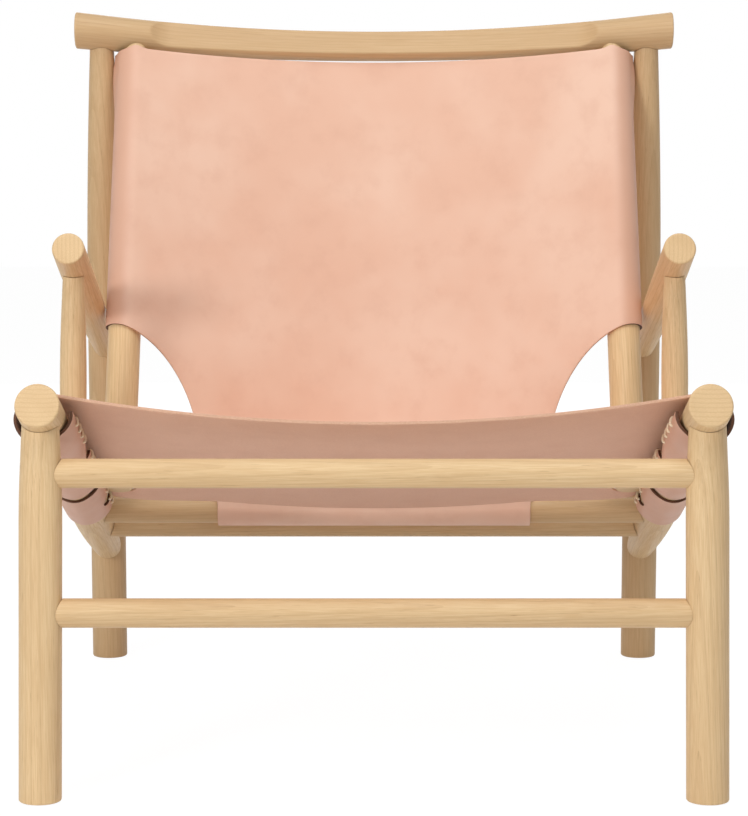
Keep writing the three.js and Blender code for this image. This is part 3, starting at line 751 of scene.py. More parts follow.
@dataclass(frozen=True)
class Dowel:
    """A turned dowel that shows between two heights, before it is laid along its axis.

    An end that another dowel takes is coped to it, a joint line short of it, and goes on as a round tenon.
    """

    start: float
    end: float
    turning: Turning
    below: Bar | None = None
    above: Bar | None = None
    rounding: float = 0.0022
    sides: int = 96
    rings: int = 36
    edge_steps: int = 5
    cap_margin: float = 0.0006
    tenon_share: float = 0.6
    tenon_length: float = 0.014
    joint: float = 0.0006
    cope_reach: float = 0.022

    def outline(self) -> list[tuple[float, float]]:
        """The dowel's outline from its first end to its last, as heights and radii.

        Returns:
            The outline's points.
        """
        points = []
        for i in range(self.rings + 1):
            share = i / self.rings
            points.append((mix(self.start, self.end, share), self.turning.radius(share)))
        first, last = points[0], points[-1]
        if self.below:
            points[:1] = self._tenon(first, -1)
        else:
            points[:1] = self._edge(first, 1)
        if self.above:
            points[-1:] = reversed(self._tenon(last, 1))
        else:
            points[-1:] = reversed(self._edge(last, -1))
        return points

    def _tenon(self, corner: tuple[float, float], way: int) -> list[tuple[float, float]]:
        """Outline from a tenon's end to the shoulder's rim; way is -1 at a dowel's foot and 1 at its head.

        Args:
            corner: height and radius of the shoulder's rim.
            way: which way the tenon runs.

        Returns:
            The outline's points.
        """
        height, radius = corner
        tenon = self.tenon_share * radius
        tip = height + way * self.tenon_length
        return [
            (tip, tenon - self.cap_margin), (tip, tenon), (height, tenon), (height, radius - self.cap_margin),
            (height, radius), (height - way * self.cap_margin, radius),
        ]

    def _edge(self, corner: tuple[float, float], way: int) -> list[tuple[float, float]]:
        """Rounded edge of a cut end, from just inside the end face to the full radius.

        Args:
            corner: height and radius of the sharp edge.
            way: 1 at a dowel's foot and -1 at its head.

        Returns:
            The outline's points.
        """
        height, radius = corner
        points = [(height, radius - self.rounding - self.cap_margin)]
        for i in range(self.edge_steps + 1):
            angle = pi / 2 * i / self.edge_steps
            points.append((
                height + way * self.rounding * (1 - cos(angle)),
                radius - self.rounding * (1 - sin(angle)),
            ))
        return points

    def _cope(self, point: bmesh.types.BMVert, laid: Matrix) -> None:
        """Moves a point near a shoulder along the dowel, so that the shoulder follows the dowel it meets.

        Args:
            point: a point of the standing dowel.
            laid: the way the standing dowel is laid.
        """
        way = laid.to_3x3() @ Vector((0, 0, 1))
        for bar, end, side in ((self.below, self.start, 1), (self.above, self.end, -1)):
            inward = side * (point.co.z - end)
            if bar is None or not -MERGE_DISTANCE < inward < self.cope_reach:
                continue
            foot = laid @ Vector((point.co.x, point.co.y, 0.0))
            shoulder = bar.meet(foot, way, side) + side * self.joint
            point.co.z += (shoulder - end) * (1 - max(0.0, inward) / self.cope_reach)

    def shape(self, log_cut: Log, laid: Matrix) -> bmesh.types.BMesh:
        """Turns the outline about Z, lays the grain in it, copes its ends and lays it along its axis.

        Args:
            log_cut: how the dowel was cut from its log.
            laid: the way the standing dowel is laid.

        Returns:
            The closed mesh.
        """
        outline = self.outline()
        outline = [(outline[0][0], 0.0), *outline, (outline[-1][0], 0.0)]
        turned = bmesh.new()
        points = [turned.verts.new((radius, 0.0, height)) for height, radius in outline]
        lines = [turned.edges.new(pair) for pair in zip(points, points[1:])]
        bmesh.ops.spin(
            turned, geom=points + lines, cent=(0, 0, 0), axis=(0, 0, 1), dvec=(0, 0, 0), angle=2 * pi,
            steps=self.sides, use_merge=True, use_duplicate=False,
        )
        face_outwards(turned)
        grain = turned.verts.layers.float_vector.new(GRAIN)
        shade = turned.verts.layers.float.new(SHADE)
        for point in turned.verts:
            self._cope(point, laid)
            point[grain] = log_cut.grain(point.co)
            point[shade] = log_cut.shade
        bmesh.ops.transform(turned, matrix=laid, verts=turned.verts[:])
        return turned


def along(start: Vector, end: Vector) -> Matrix:
    """Lays a shape that stands on Z so that it runs from one point towards another."""
    turn = Vector((0, 0, 1)).rotation_difference(end - start)
    return Matrix.Translation(start) @ turn.to_matrix().to_4x4()


def face_outwards(shape: bmesh.types.BMesh) -> None:
    """Closes a shape's seams and turns all its faces outwards.

    Args:
        shape: the shape.
    """
    bmesh.ops.remove_doubles(shape, verts=shape.verts[:], dist=MERGE_DISTANCE)
    bmesh.ops.recalc_face_normals(shape, faces=shape.faces[:])
    if shape.calc_volume(signed=True) < 0:
        bmesh.ops.reverse_faces(shape, faces=shape.faces[:])


def bring_over_origin(shape: bmesh.types.BMesh, lines: SetOut) -> None:
    """Moves a shape so that the middle of the chair's depth is over the origin."""
    bmesh.ops.translate(shape, vec=lines.middle_shift, verts=shape.verts[:])


def put_dowel(shape: bmesh.types.BMesh, node: str, lines: SetOut, oak: bpy.types.Material) -> None:
    """Puts a dowel in the scene in place of its plain solid."""
    bring_over_origin(shape, lines)
    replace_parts(put_in_scene(shape, f"oak_{node}", [oak]), node)


# The frame


@dataclass(frozen=True)
class SideFrames:
    """The two side frames: front legs, rear posts, side rails, arm posts and armrests."""

    lines: SetOut
    finishes: Finishes
    crest: "CrestRail"
    foot_height: float = 0.001
    front_leg: Turning = Turning(first=0.0221, full=0.0221, last=0.0191, full_to=0.765)
    rear_post: Turning = Turning(first=0.0221, full=0.0221, last=0.0148, full_to=0.555)
    side_rail: Turning = Turning(first=0.02275, full=0.02275, last=0.017, full_to=0.73)
    arm_post: Turning = Turning(first=0.014, full=0.015, last=0.0118, full_from=0.4, full_to=0.4)
    armrest: Turning = Turning(first=0.0178, full=0.0182, last=0.013, full_from=0.3, full_to=0.4)

    def build(self) -> None:
        """Builds both side frames."""
        for hand, side in SIDES:
            self._add(f"front_leg_{hand}", *self._front_leg(side))
            self._add(f"rear_post_{hand}", *self._rear_post(side))
            self._add(f"side_rail_{hand}", *self._side_rail(side))
            self._add(f"arm_post_{hand}", *self._arm_post(side))
            self._add(f"armrest_{hand}", *self._armrest(side))

    def _add(self, node: str, dowel: Dowel, log_cut: Log, laid: Matrix) -> None:
        """Puts one dowel in the scene in place of its plain solid."""
        put_dowel(dowel.shape(log_cut, laid), node, self.lines, self.finishes.oak)

    def _upright(self, side: int, foot_y: float, slope: float) -> Matrix:
        """Leans an upright dowel in a side frame and keeps its foot level.

        Args:
            side: -1 for the left one, 1 for the right one.
            foot_y: Y of its foot.
            slope: how far it leans to the front for each unit of height.

        Returns:
            The way the standing dowel is laid.
        """
        inward = -side * tan(self.lines.side_lean)
        spread = hypot(1, slope)
        return Matrix((
            (1, 0, inward, side * self.lines.floor_half_width),
            (0, spread, -slope, foot_y),
            (0, 0, 1, 0),
            (0, 0, 0, 1),
        ))

    def _rail_ends(self, side: int) -> tuple[Vector, Vector]:
        """A side rail's front end and where its axis meets the rear post's."""
        lines = self.lines
        return (
            lines.on_side(side, 0.0, lines.rail_front_height),
            lines.on_side(side, lines.rail_end, lines.rail_height(lines.rail_end)),
        )

    def _armrest_ends(self, side: int) -> tuple[Vector, Vector]:
        """An armrest's front end and where its axis meets the rear post's."""
        lines = self.lines
        return (
            lines.on_side(side, lines.armrest_front_y, lines.armrest_front_height),
            lines.on_side(side, lines.armrest_end, lines.armrest_height(lines.armrest_end)),
        )

    def _rear_post_bar(self, side: int) -> Bar:
        """A rear post, where the side rail and the armrest run into it.

        Args:
            side: -1 for the left one, 1 for the right one.

        Returns:
            The post as a bar.
        """
        lines = self.lines
        foot = lines.on_side(side, lines.rear_foot_y, 0.0)
        head = lines.on_side(side, lines.post_top.y, lines.post_top.z)
        return Bar(foot, (head - foot).normalized(), self.rear_post.full)

    def leg_bar(self, side: int, height: float) -> Bar:
        """A front leg at the height of a cross rail.

        Args:
            side: -1 for the left one, 1 for the right one.
            height: the cross rail's height.

        Returns:
            The leg as a bar.
        """
        lines = self.lines
        foot = lines.on_side(side, lines.front_leg_y, 0.0)
        head = lines.on_side(side, lines.front_leg_y, lines.rail_height(lines.front_leg_y))
        return Bar(foot, (head - foot).normalized(), self.front_leg.radius(height / self._leg_neck))

    def rail_bar(self, side: int, y: float) -> Bar:
        """A side rail at the depth of a cross rail, a leg or an arm post."""
        start, end = self._rail_ends(side)
        return Bar(start, (end - start).normalized(), self.side_rail.radius(y / end.y))

    @property
    def _leg_neck(self) -> float:
        """Height at which a front leg runs into the side rail."""
        lines = self.lines
        return lines.rail_height(lines.front_leg_y) - lines.rail_radius / cos(lines.rail_angle)

    def _front_leg(self, side: int) -> tuple[Dowel, Log, Matrix]:
        """A front leg, necked where it runs into the side rail.

        Args:
            side: -1 for the left one, 1 for the right one.

        Returns:
            The dowel, how it was cut from its log and the way it is laid.
        """
        lines = self.lines
        dowel = Dowel(
            self.foot_height, self._leg_neck, self.front_leg, above=self.rail_bar(side, lines.front_leg_y),
        )
        log_cut = Log(pith=(0.05, 0.085 * side), slant=(0.03, 0.012), along=3.1 + side)
        return dowel, log_cut, self._upright(side, lines.front_leg_y, 0.0)

    def _rear_post(self, side: int) -> tuple[Dowel, Log, Matrix]:
        """A rear post, from the floor to the crest rail.

        Args:
            side: -1 for the left one, 1 for the right one.

        Returns:
            The dowel, how it was cut from its log and the way it is laid.
        """
        lines = self.lines
        dowel = Dowel(
            self.foot_height, lines.post_top.z - lines.crest_radius, self.rear_post,
            above=self.crest.bar(side * lines.side_x(lines.crest_height)),
        )
        # The rear posts' shade is painted shade, for the shadow of the back's leather beside them.
        log_cut = Log(pith=(-0.06, 0.07 * side), slant=(0.015, 0.02), along=5.3 + side, shade=0.4)
        return dowel, log_cut, self._upright(side, lines.rear_foot_y, lines.post_slope)

    def _side_rail(self, side: int) -> tuple[Dowel, Log, Matrix]:
        """A side rail, from its square-cut front end into the rear post.

        Args:
            side: -1 for the left one, 1 for the right one.

        Returns:
            The dowel, how it was cut from its log and the way it is laid.
        """
        start, end = self._rail_ends(side)
        shown = (end - start).length - self.lines.rear_post_radius
        dowel = Dowel(0.0, shown, self.side_rail, above=self._rear_post_bar(side), rings=72)
        log_cut = Log(pith=(0.0, 0.25), slant=(0.004, 0.03), along=8.7 + side, shade=0.08)
        return dowel, log_cut, along(start, end)

    def _arm_post(self, side: int) -> tuple[Dowel, Log, Matrix]:
        """An arm post, from the side rail up to the armrest.

        Args:
            side: -1 for the left one, 1 for the right one.

        Returns:
            The dowel, how it was cut from its log and the way it is laid.
        """
        lines = self.lines
        foot = lines.on_side(side, lines.arm_post_y, lines.rail_height(lines.arm_post_y))
        head = lines.on_side(side, lines.arm_post_y, lines.armrest_height(lines.arm_post_y))
        start, end = self._armrest_ends(side)
        dowel = Dowel(
            lines.rail_radius, (head - foot).length - lines.armrest_radius, self.arm_post,
            below=self.rail_bar(side, lines.arm_post_y),
            above=Bar(start, (end - start).normalized(), lines.armrest_radius),
        )
        log_cut = Log(pith=(0.07, 0.05 * side), slant=(0.02, 0.02), along=11.9 + side)
        return dowel, log_cut, along(foot, head)

    def _armrest(self, side: int) -> tuple[Dowel, Log, Matrix]:
        """An armrest, from its square-cut front end into the rear post.

        Args:
            side: -1 for the left one, 1 for the right one.

        Returns:
            The dowel, how it was cut from its log and the way it is laid.
        """
        start, end = self._armrest_ends(side)
        shown = (end - start).length - self.lines.rear_post_radius
        dowel = Dowel(0.0, shown, self.armrest, above=self._rear_post_bar(side))
        log_cut = Log(pith=(0.25 * side, 0.0), slant=(0.01, 0.02), along=14.2 + side, shade=0.05)
        return dowel, log_cut, along(start, end)


@dataclass(frozen=True)
class CrossRails:
    """The plain dowels between the side frames, two in front and two behind."""

    lines: SetOut
    finishes: Finishes
    frames: SideFrames

    def build(self) -> None:
        """Builds the four cross rails."""
        lines = self.lines
        upper = lines.rail_height(lines.front_leg_y) - lines.upper_front_rail_drop
        for node, height, place_along, shade in (
            ("front_rail_upper", upper, 1.7, 0.0),
            ("front_rail_lower", upper - lines.front_rail_spacing, 3.9, 0.12),
        ):
            bars = [self.frames.leg_bar(side, height) for _, side in SIDES]
            self._add(node, lines.front_leg_y, height, bars, place_along, shade)
        # The rear rails' shade is painted shade, for the seat and the back's tongue that shade them from
        # above.
        for node, y, place_along, shade in (
            ("rear_rail_front", lines.rear_rail_front_y, 6.4, 0.4),
            ("rear_rail_back", lines.rear_rail_back_y, 9.8, 0.3),
        ):
            bars = [self.frames.rail_bar(side, y) for _, side in SIDES]
            self._add(node, y, lines.rail_height(y), bars, place_along, shade)

    def _add(self, node: str, y: float, height: float, bars: list[Bar], place_along: float,
             shade: float) -> None:
        """Puts one cross rail in the scene in place of its plain solid.

        Args:
            node: the plain solid's name.
            y: the rail's depth.
            height: the rail's height.
            bars: the left and the right dowel that take its ends.
            place_along: place in the log that it was cut from.
            shade: how much darker its oak is painted; on the rear rails it is painted shade.
        """
        lines = self.lines
        left, right = (lines.on_side(side, y, height) for _, side in SIDES)
        radius = lines.cross_rail_radius
        dowel = Dowel(
            bars[0].radius, (right - left).length - bars[1].radius, Turning(radius, radius, radius),
            below=bars[0], above=bars[1],
        )
        log_cut = Log(pith=(0.055, 0.075), slant=(0.012, 0.02), along=place_along, shade=shade)
        put_dowel(dowel.shape(log_cut, along(left, right)), node, lines, self.finishes.oak)


@dataclass(frozen=True)
class CrestRail:
    """The bowed top rail, lower towards its middle and planed flat in front between its ends."""

    lines: SetOut
    finishes: Finishes
    middle_half_height: float = 0.0173
    planed_face_front: float = 0.0125
    planed_from_x: float = 0.276
    plane_run_out: float = 0.028
    arris: float = 0.0022
    end_length: float = 0.03
    rings: int = 300
    sides: int = 128

    def half_height(self, x: float) -> float:
        """Half the rail's height at a place across."""
        lines = self.lines
        return mix(self.middle_half_height, lines.crest_radius, (x / lines.crest_half_length) ** 2)

    def _slope(self, x: float) -> float:
        """How fast the rail's axis runs back on its way to the right."""
        return -2 * self.lines.crest_bow * x / self.lines.crest_half_length ** 2

    def _planed_front(self, x: float) -> float:
        """Distance of the planed face before the rail's axis; it runs out of the round along an arc."""
        share = (abs(x) - self.planed_from_x + self.plane_run_out) / self.plane_run_out
        return mix(self.planed_face_front, self.lines.crest_radius, min(1.0, max(0.0, share)) ** 2)

    def _on_ring(self, x: float, angle: float, share: float) -> Vector:
        """A point of the rail at a place across, an angle from its front and a share of its radius.

        Args:
            x: the place across.
            angle: the angle.
            share: the share of the radius.

        Returns:
            The point.
        """
        lines = self.lines
        slope = self._slope(x)
        slope *= 1 - smoothstep(abs(x), lines.crest_half_length - self.end_length, lines.crest_half_length)
        upward = Vector((0, sin(lines.back_angle), cos(lines.back_angle)))
        frontward = Vector((slope, -cos(lines.back_angle), sin(lines.back_angle))).normalized()
        front = lines.crest_radius * cos(angle)
        planed = self._planed_front(x)
        if planed < lines.crest_radius:
            rounding = self.arris * smoothstep(self.planed_from_x - abs(x), 0.0, self.plane_run_out)
            near = max(0.0, rounding - abs(front - planed))
            front = min(front, planed) - (near * near / (4 * rounding) if rounding else 0.0)
        up = self.half_height(x) * sin(angle)
        return lines.crest_point(x) + share * (front * frontward + up * upward)

    def bar(self, x: float) -> Bar:
        """The rail as a straight bar where a pole or post runs into it.

        Args:
            x: the place across.

        Returns:
            The bar.
        """
        lines = self.lines
        slope = self._slope(x)
        way = Vector((1, slope * cos(lines.back_angle), -slope * sin(lines.back_angle))).normalized()
        return Bar(lines.crest_point(x), way, self.half_height(x))

    def build(self) -> None:
        """Turns a straight dowel, then bows and planes it."""
        lines = self.lines
        radius = lines.crest_radius
        length = 2 * lines.crest_half_length
        dowel = Dowel(0.0, length, Turning(radius, radius, radius), rings=self.rings, sides=self.sides)
        # Mostly painted shade: the crest rail's shade darkens its brightly lit planed face.
        log_cut = Log(pith=(0.03, 0.1), slant=(0.01, 0.015), along=12.6, shade=0.42)
        shape = dowel.shape(log_cut, Matrix())
        for point in shape.verts:
            distance = hypot(point.co.x, point.co.y)
            angle = Vector((1, 0)).angle_signed(Vector(point.co.xy), 0.0) if distance else 0.0
            point.co = self._on_ring(point.co.z - lines.crest_half_length, -angle, distance / radius)
        face_outwards(shape)
        put_dowel(shape, "crest_rail", lines, self.finishes.oak)


@dataclass(frozen=True)
class BackPoles:
    """The two leaning poles that carry the back sling."""

    lines: SetOut
    finishes: Finishes
    crest: CrestRail
    turning: Turning = Turning(first=0.017, full=0.01925, last=0.0145, full_from=0.14, full_to=0.88)
    foot_start: float = 0.0055
    foot_rounding: float = 0.003

    def ends(self, side: int) -> tuple[Vector, Vector]:
        """A pole's foot and its head on the crest rail's axis.

        Args:
            side: -1 for the left one, 1 for the right one.

        Returns:
            The foot and the head.
        """
        lines = self.lines
        foot = lines.on_side(side, lines.pole_foot_y, lines.pole_foot_height, lines.pole_inset)
        return foot, lines.on_side(side, lines.crest_y, lines.crest_height, lines.pole_inset)

    def build(self) -> None:
        """Builds both poles."""
        for hand, side in SIDES:
            foot, head = self.ends(side)
            dowel = Dowel(
                self.foot_start, (head - foot).length - self.lines.crest_radius, self.turning,
                above=self.crest.bar(head.x), rounding=self.foot_rounding,
            )
            log_cut = Log(pith=(0.06 * side, 0.06), slant=(0.02, 0.01), along=16.5 + side)
            shape = dowel.shape(log_cut, along(foot, head))
            put_dowel(shape, f"back_pole_{hand}", self.lines, self.finishes.oak)


# Leather


@dataclass(frozen=True)
class Hang:
    """How a sheet lies that hangs as a parabola between two round bars and leaves each at a tangent."""

    angle: float
    edge: float
    curvature: float

    @classmethod
    def between(cls, half_span: float, radius: float, middle: float) -> "Hang":
        """Solves the tangent angle by iteration.

        Args:
            half_span: half the distance between the bars' axes.
            radius: the sheet's radius round a bar.
            middle: height of the sheet's middle above the bars' axes.

        Returns:
            The angle at the bars, the half width of the free panel and its curvature.
        """
        angle = 0.0
        for _ in range(TANGENT_STEPS):
            angle = atan(2 * (radius * cos(angle) - middle) / (half_span - radius * sin(angle)))
        edge = half_span - radius * sin(angle)
        return cls(angle, edge, tan(angle) / (2 * edge))


@dataclass(frozen=True)
class Section:
    """A sling's section at one place along its bars."""

    half_span: float
    radius: float
    middle: float
    turn: float
    spring: float = 0.0
    spring_from: float = 0.75

    @property
    def hang(self) -> Hang:
        """How the free panel hangs here."""
        return Hang.between(self.half_span, self.radius, self.middle)

    def panel(self, across: float) -> tuple[float, float]:
        """A panel point: its place across and its height above the bars' axes.

        Args:
            across: from -1 at the panel's left edge to 1 at its right.

        Returns:
            The place across and the height.
        """
        hang = self.hang
        x = across * hang.edge
        return x, self.middle + hang.curvature * x * x

    def wrap(self, side: int, share: float) -> tuple[float, float]:
        """A point of the wrap round a bar, from the panel's edge to the flap's, which springs off the bar.

        Args:
            side: which bar, -1 or 1.
            share: from 0 at the panel's edge to 1 at the flap's.

        Returns:
            The place across and the height.
        """
        around = share * (self.turn + self.hang.angle) - self.hang.angle
        radius = self.radius + self.spring * smoothstep(share, self.spring_from, 1.0)
        return side * (self.half_span + radius * sin(around)), radius * cos(around)


@dataclass(frozen=True)
class Columns:
    """The columns of a sling's grid: the left wrap, the panel and the right wrap."""

    wrap: int
    panel: int

    @property
    def count(self) -> int:
        """How many columns of faces there are."""
        return 2 * self.wrap + self.panel

    def split(self, column: float) -> tuple[int, float]:
        """Which part a column lies in, -1, 0 or 1, and its share of that part.

        Args:
            column: the column.

        Returns:
            The part and the share.
        """
        if column < self.wrap:
            return -1, (self.wrap - column) / self.wrap
        if column > self.wrap + self.panel:
            return 1, (column - self.wrap - self.panel) / self.wrap
        return 0, 2 * (column - self.wrap) / self.panel - 1

    def on(self, section: Section, column: float) -> tuple[float, float]:
        """A column's place across and above the bars' axes in a section."""
        side, share = self.split(column)
        return section.panel(share) if side == 0 else section.wrap(side, share)


Place = Callable[[float, float], Vector]
Place3 = Callable[[float, float, float], Vector]
Gap = Callable[[float, float], float]


@dataclass(frozen=True)
class Hide:
    """A leather sheet, cut on a flat grid of columns and rows and then laid in its place."""

    columns: Columns
    rows: int
    lay: Place
    thickness: float
    edge_rounding: float = 0.0006
    wrapped_from: float = 0.15
    step: float = 0.02
    draw_steps: int = 4
    least_steepness: float = 0.05
    crease: float = radians(50)

    def grid(self) -> bmesh.types.BMesh:
        """A flat grid whose points lie at their column and row.

        Returns:
            The grid.
        """
        shape = bmesh.new()
        bmesh.ops.create_grid(shape, x_segments=self.columns.count, y_segments=self.rows, size=0.5)
        bmesh.ops.translate(shape, vec=(0.5, 0.5, 0), verts=shape.verts[:])
        bmesh.ops.scale(shape, vec=(self.columns.count, self.rows, 1), verts=shape.verts[:])
        return shape

    def cut(self, shape: bmesh.types.BMesh, gap: Gap) -> None:
        """Cuts away what lies inside an outline and draws the cut edge onto it.

        Args:
            shape: the flat grid.
            gap: distance outside the outline, in metres, at a column and row; inside it is negative.
        """
        inside = []
        for face in shape.faces:
            middle = face.calc_center_median()
            if gap(middle.x, middle.y) < 0:
                inside.append(face)
        edge_points = {point for face in inside for point in face.verts}
        bmesh.ops.delete(shape, geom=inside, context="FACES")
        for point in shape.verts:
            if point in edge_points and point.is_boundary:
                self._draw(point, gap)

    def _draw(self, point: bmesh.types.BMVert, gap: Gap) -> None:
        """Moves a point of the flat grid along the steepest way onto an outline.

        Args:
            point: the point.
            gap: distance outside the outline, in metres, at a column and row.
        """
        for _ in range(self.draw_steps):
            column, row = point.co.x, point.co.y
            here = gap(column, row)
            spans = [
                (self.lay(column + self.step, row) - self.lay(column, row)).length / self.step,
                (self.lay(column, row + self.step) - self.lay(column, row)).length / self.step,
            ]
            slopes = [
                (gap(column + self.step, row) - here) / self.step / spans[0],
                (gap(column, row + self.step) - here) / self.step / spans[1],
            ]
            steepness = slopes[0] ** 2 + slopes[1] ** 2
            if steepness < self.least_steepness:
                return
            point.co.x -= here * slopes[0] / steepness / spans[0]
            point.co.y -= here * slopes[1] / steepness / spans[1]

    def finish(self, shape: bmesh.types.BMesh, name: str, lines: SetOut,
               finishes: Finishes) -> bpy.types.Object:
        """Lays the cut sheet in its place and gives it thickness.

        Args:
            shape: the flat grid, cut.
            name: the object's name.
            lines: the chair's set-out.
            finishes: the chair's finishes.

        Returns:
            The leather piece.
        """
        # Wrapped marks the sheet's wraps round its bars, where the leather finishes paint shade.
        wrapped = shape.verts.layers.float.new(WRAPPED)
        for point in shape.verts:
            side, share = self.columns.split(point.co.x)
            point[wrapped] = abs(side) * smoothstep(share, 0.0, self.wrapped_from)
            point.co = self.lay(point.co.x, point.co.y)
        bring_over_origin(shape, lines)
        piece = put_in_scene(shape, name, [finishes.grain, finishes.flesh, finishes.edge])
        body = piece.modifiers.new("body", "SOLIDIFY")
        body.thickness = self.thickness
        body.offset = 0.0
        body.use_even_offset = False
        body.use_quality_normals = True
        body.material_offset = 1
        body.material_offset_rim = 2
        edge = piece.modifiers.new("edge", "BEVEL")
        edge.width = self.edge_rounding
        edge.segments = 2
        edge.limit_method = "ANGLE"
        edge.angle_limit = self.crease
        return piece


def line_gap(point: Vector, start: Vector, end: Vector) -> float:
    """Distance of a point from the stretch between two others.

    Args:
        point: the point.
        start: one end of the stretch.
        end: its other end.

    Returns:
        The distance.
    """
    way = end - start
    share = max(0.0, min(1.0, (point - start).dot(way) / way.length_squared))
    return (point - start - share * way).length


@dataclass(frozen=True)
class SeatSling:
    """The seat: one sheet over both side rails, round their outside and up their inner side.

    Flare_from and flare_until are the shares of a wrap over which its front edge comes off the rail and goes
    back. Slack_from and slack_until are those of half the panel over which it droops and rises again.
    """

    lines: SetOut
    finishes: Finishes
    poles: BackPoles
    front: float = 0.051
    rear: float = 0.504
    rear_bulge: float = 0.015
    front_sag: float = 0.031
    rear_sag: float = 0.026
    flare: float = 0.004
    flare_length: float = 0.016
    flare_from: tuple[float, float] = (0.1, 0.4)
    flare_until: tuple[float, float] = (0.6, 0.85)
    droop: float = 0.0095
    droop_from: float = 0.4
    slack_from: tuple[float, float] = (0.5, 0.9)
    slack_until: tuple[float, float] = (0.9, 1.0)
    wrap_turn: float = 1.5 * pi
    flap_rise: float = 0.005
    flap_spring: float = 0.005
    clearance: float = 0.001
    slit_width: float = 0.018
    slit_inset: float = 0.2
    pole_clearance: float = 0.002
    notch: tuple[float, float, float] = (0.163, 0.209, 0.235)
    notch_drop: float = 0.0139
    columns: Columns = Columns(wrap=36, panel=150)
    rows: int = 128

    @property
    def radius(self) -> float:
        """Radius of the sheet's middle round a side rail."""
        return self.lines.rail_radius + self.lines.fit + self.lines.leather / 2

    def flap_edge(self, station: float) -> float:
        """Height of the flap's edge above the rail's axis, lower in the notch.

        Args:
            station: the place along the rail.

        Returns:
            The height.
        """
        start, deepest, end = self.notch
        if not start < station < end:
            return self.flap_rise
        if station < deepest:
            share = (station - start) / (deepest - start)
        else:
            share = (end - station) / (end - deepest)
        return self.flap_rise - share * self.notch_drop

    def section(self, station: float) -> Section:
        """The sling's section at a station along the rails.

        Args:
            station: the place along the rails.

        Returns:
            The section.
        """
        lines = self.lines
        lean = atan(self.flap_edge(station) / self.radius)
        sag = mix(self.front_sag, self.rear_sag, (station - self.front) / (self.rear - self.front))
        return Section(
            lines.side_x(lines.rail_front_height - station * sin(lines.rail_angle)), self.radius,
            self.radius - sag, self.wrap_turn + lean, self.flap_spring,
        )

    def lay(self, column: float, row: float) -> Vector:
        """Place of a column and row in the hung sheet; between the rails its rear edge is cut in a bow.

        Args:
            column: the column.
            row: the row.

        Returns:
            The place.
        """
        part, across = self.columns.split(column)
        bulge = 0.0 if part else self.rear_bulge * (1 - across ** 2)
        station = mix(self.front, self.rear + bulge, row / self.rows)
        section = self.section(station)
        x, above = self.columns.on(section, column)
        if part:
            flare = self.flare * (1 - smoothstep(station, self.front, self.front + self.flare_length))
            outside = smoothstep(across, *self.flare_from) * (1 - smoothstep(across, *self.flare_until))
            out = Vector((x - part * section.half_span, above)).normalized() * flare * outside
            return self.lines.on_seat(x + out.x, above + out.y, station)
        slack = smoothstep(abs(across), *self.slack_from) * (1 - smoothstep(abs(across), *self.slack_until))
        droop = self.droop * slack * smoothstep(station, self.droop_from, self.rear)
        return self.lines.on_seat(x, above - droop, station)

    def _gap(self, column: float, row: float) -> float:
        """Distance outside the cuts for the legs, the arm posts, their slits and the back poles.

        Args:
            column: the column.
            row: the row.

        Returns:
            The distance, which is negative inside a cut.
        """
        lines = self.lines
        here = self.lay(column, row)
        side = -1 if here.x < 0 else 1
        leg_gap = hypot(here.x - side * lines.side_x(here.z), here.y - lines.front_leg_y)
        gaps = [leg_gap - SideFrames.front_leg.last - self.clearance]
        foot = lines.on_side(side, lines.arm_post_y, lines.rail_height(lines.arm_post_y))
        head = lines.on_side(side, lines.arm_post_y, lines.armrest_height(lines.arm_post_y))
        gaps.append(line_gap(here, foot, head) - SideFrames.arm_post.first - self.clearance)
        part, share = self.columns.split(column)
        if part:
            outward = share * self.radius * self.wrap_turn - self.radius * self.slit_inset
            gaps.append(max(abs(here.y - lines.arm_post_y) - self.slit_width / 2, -outward))
        gaps.append(line_gap(here, *self.poles.ends(side)) - lines.pole_radius - self.pole_clearance)
        return min(gaps)

    def build(self) -> None:
        """Cuts and hangs the seat."""
        hide = Hide(self.columns, self.rows, self.lay, self.lines.leather)
        shape = hide.grid()
        hide.cut(shape, self._gap)
        flat_width, flat_length, area = measure_flat(shape, self.lay, self.columns.count, self.rows)
        piece = hide.finish(shape, "leather_seat_sling", self.lines, self.finishes)
        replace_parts(piece, "seat_sling")


def measure_flat(shape: bmesh.types.BMesh, lay: Place, columns: int, rows: int) -> tuple[float, float, float]:
    """Measures the flat sheet that a sling was cut from, which bends but doesn't stretch.

    Args:
        shape: the flat grid, cut, with its points at their column and row.
        lay: the place of a column and row in the hung sheet.
        columns: how many columns the whole grid has.
        rows: how many rows the whole grid has.

    Returns:
        The sheet's width along its last row, its length along its middle, and the area that the cuts leave.
    """
    width = sum((lay(i + 1, rows) - lay(i, rows)).length for i in range(columns))
    middle = columns / 2
    length = sum((lay(middle, i + 1) - lay(middle, i)).length for i in range(rows))
    area = 0.0
    for face in shape.faces:
        corners = [lay(point.co.x, point.co.y) for point in face.verts]
        first = corners[0]
        for second, third in zip(corners[1:], corners[2:]):
            area += (second - first).cross(third - first).length / 2
    return width, length, area


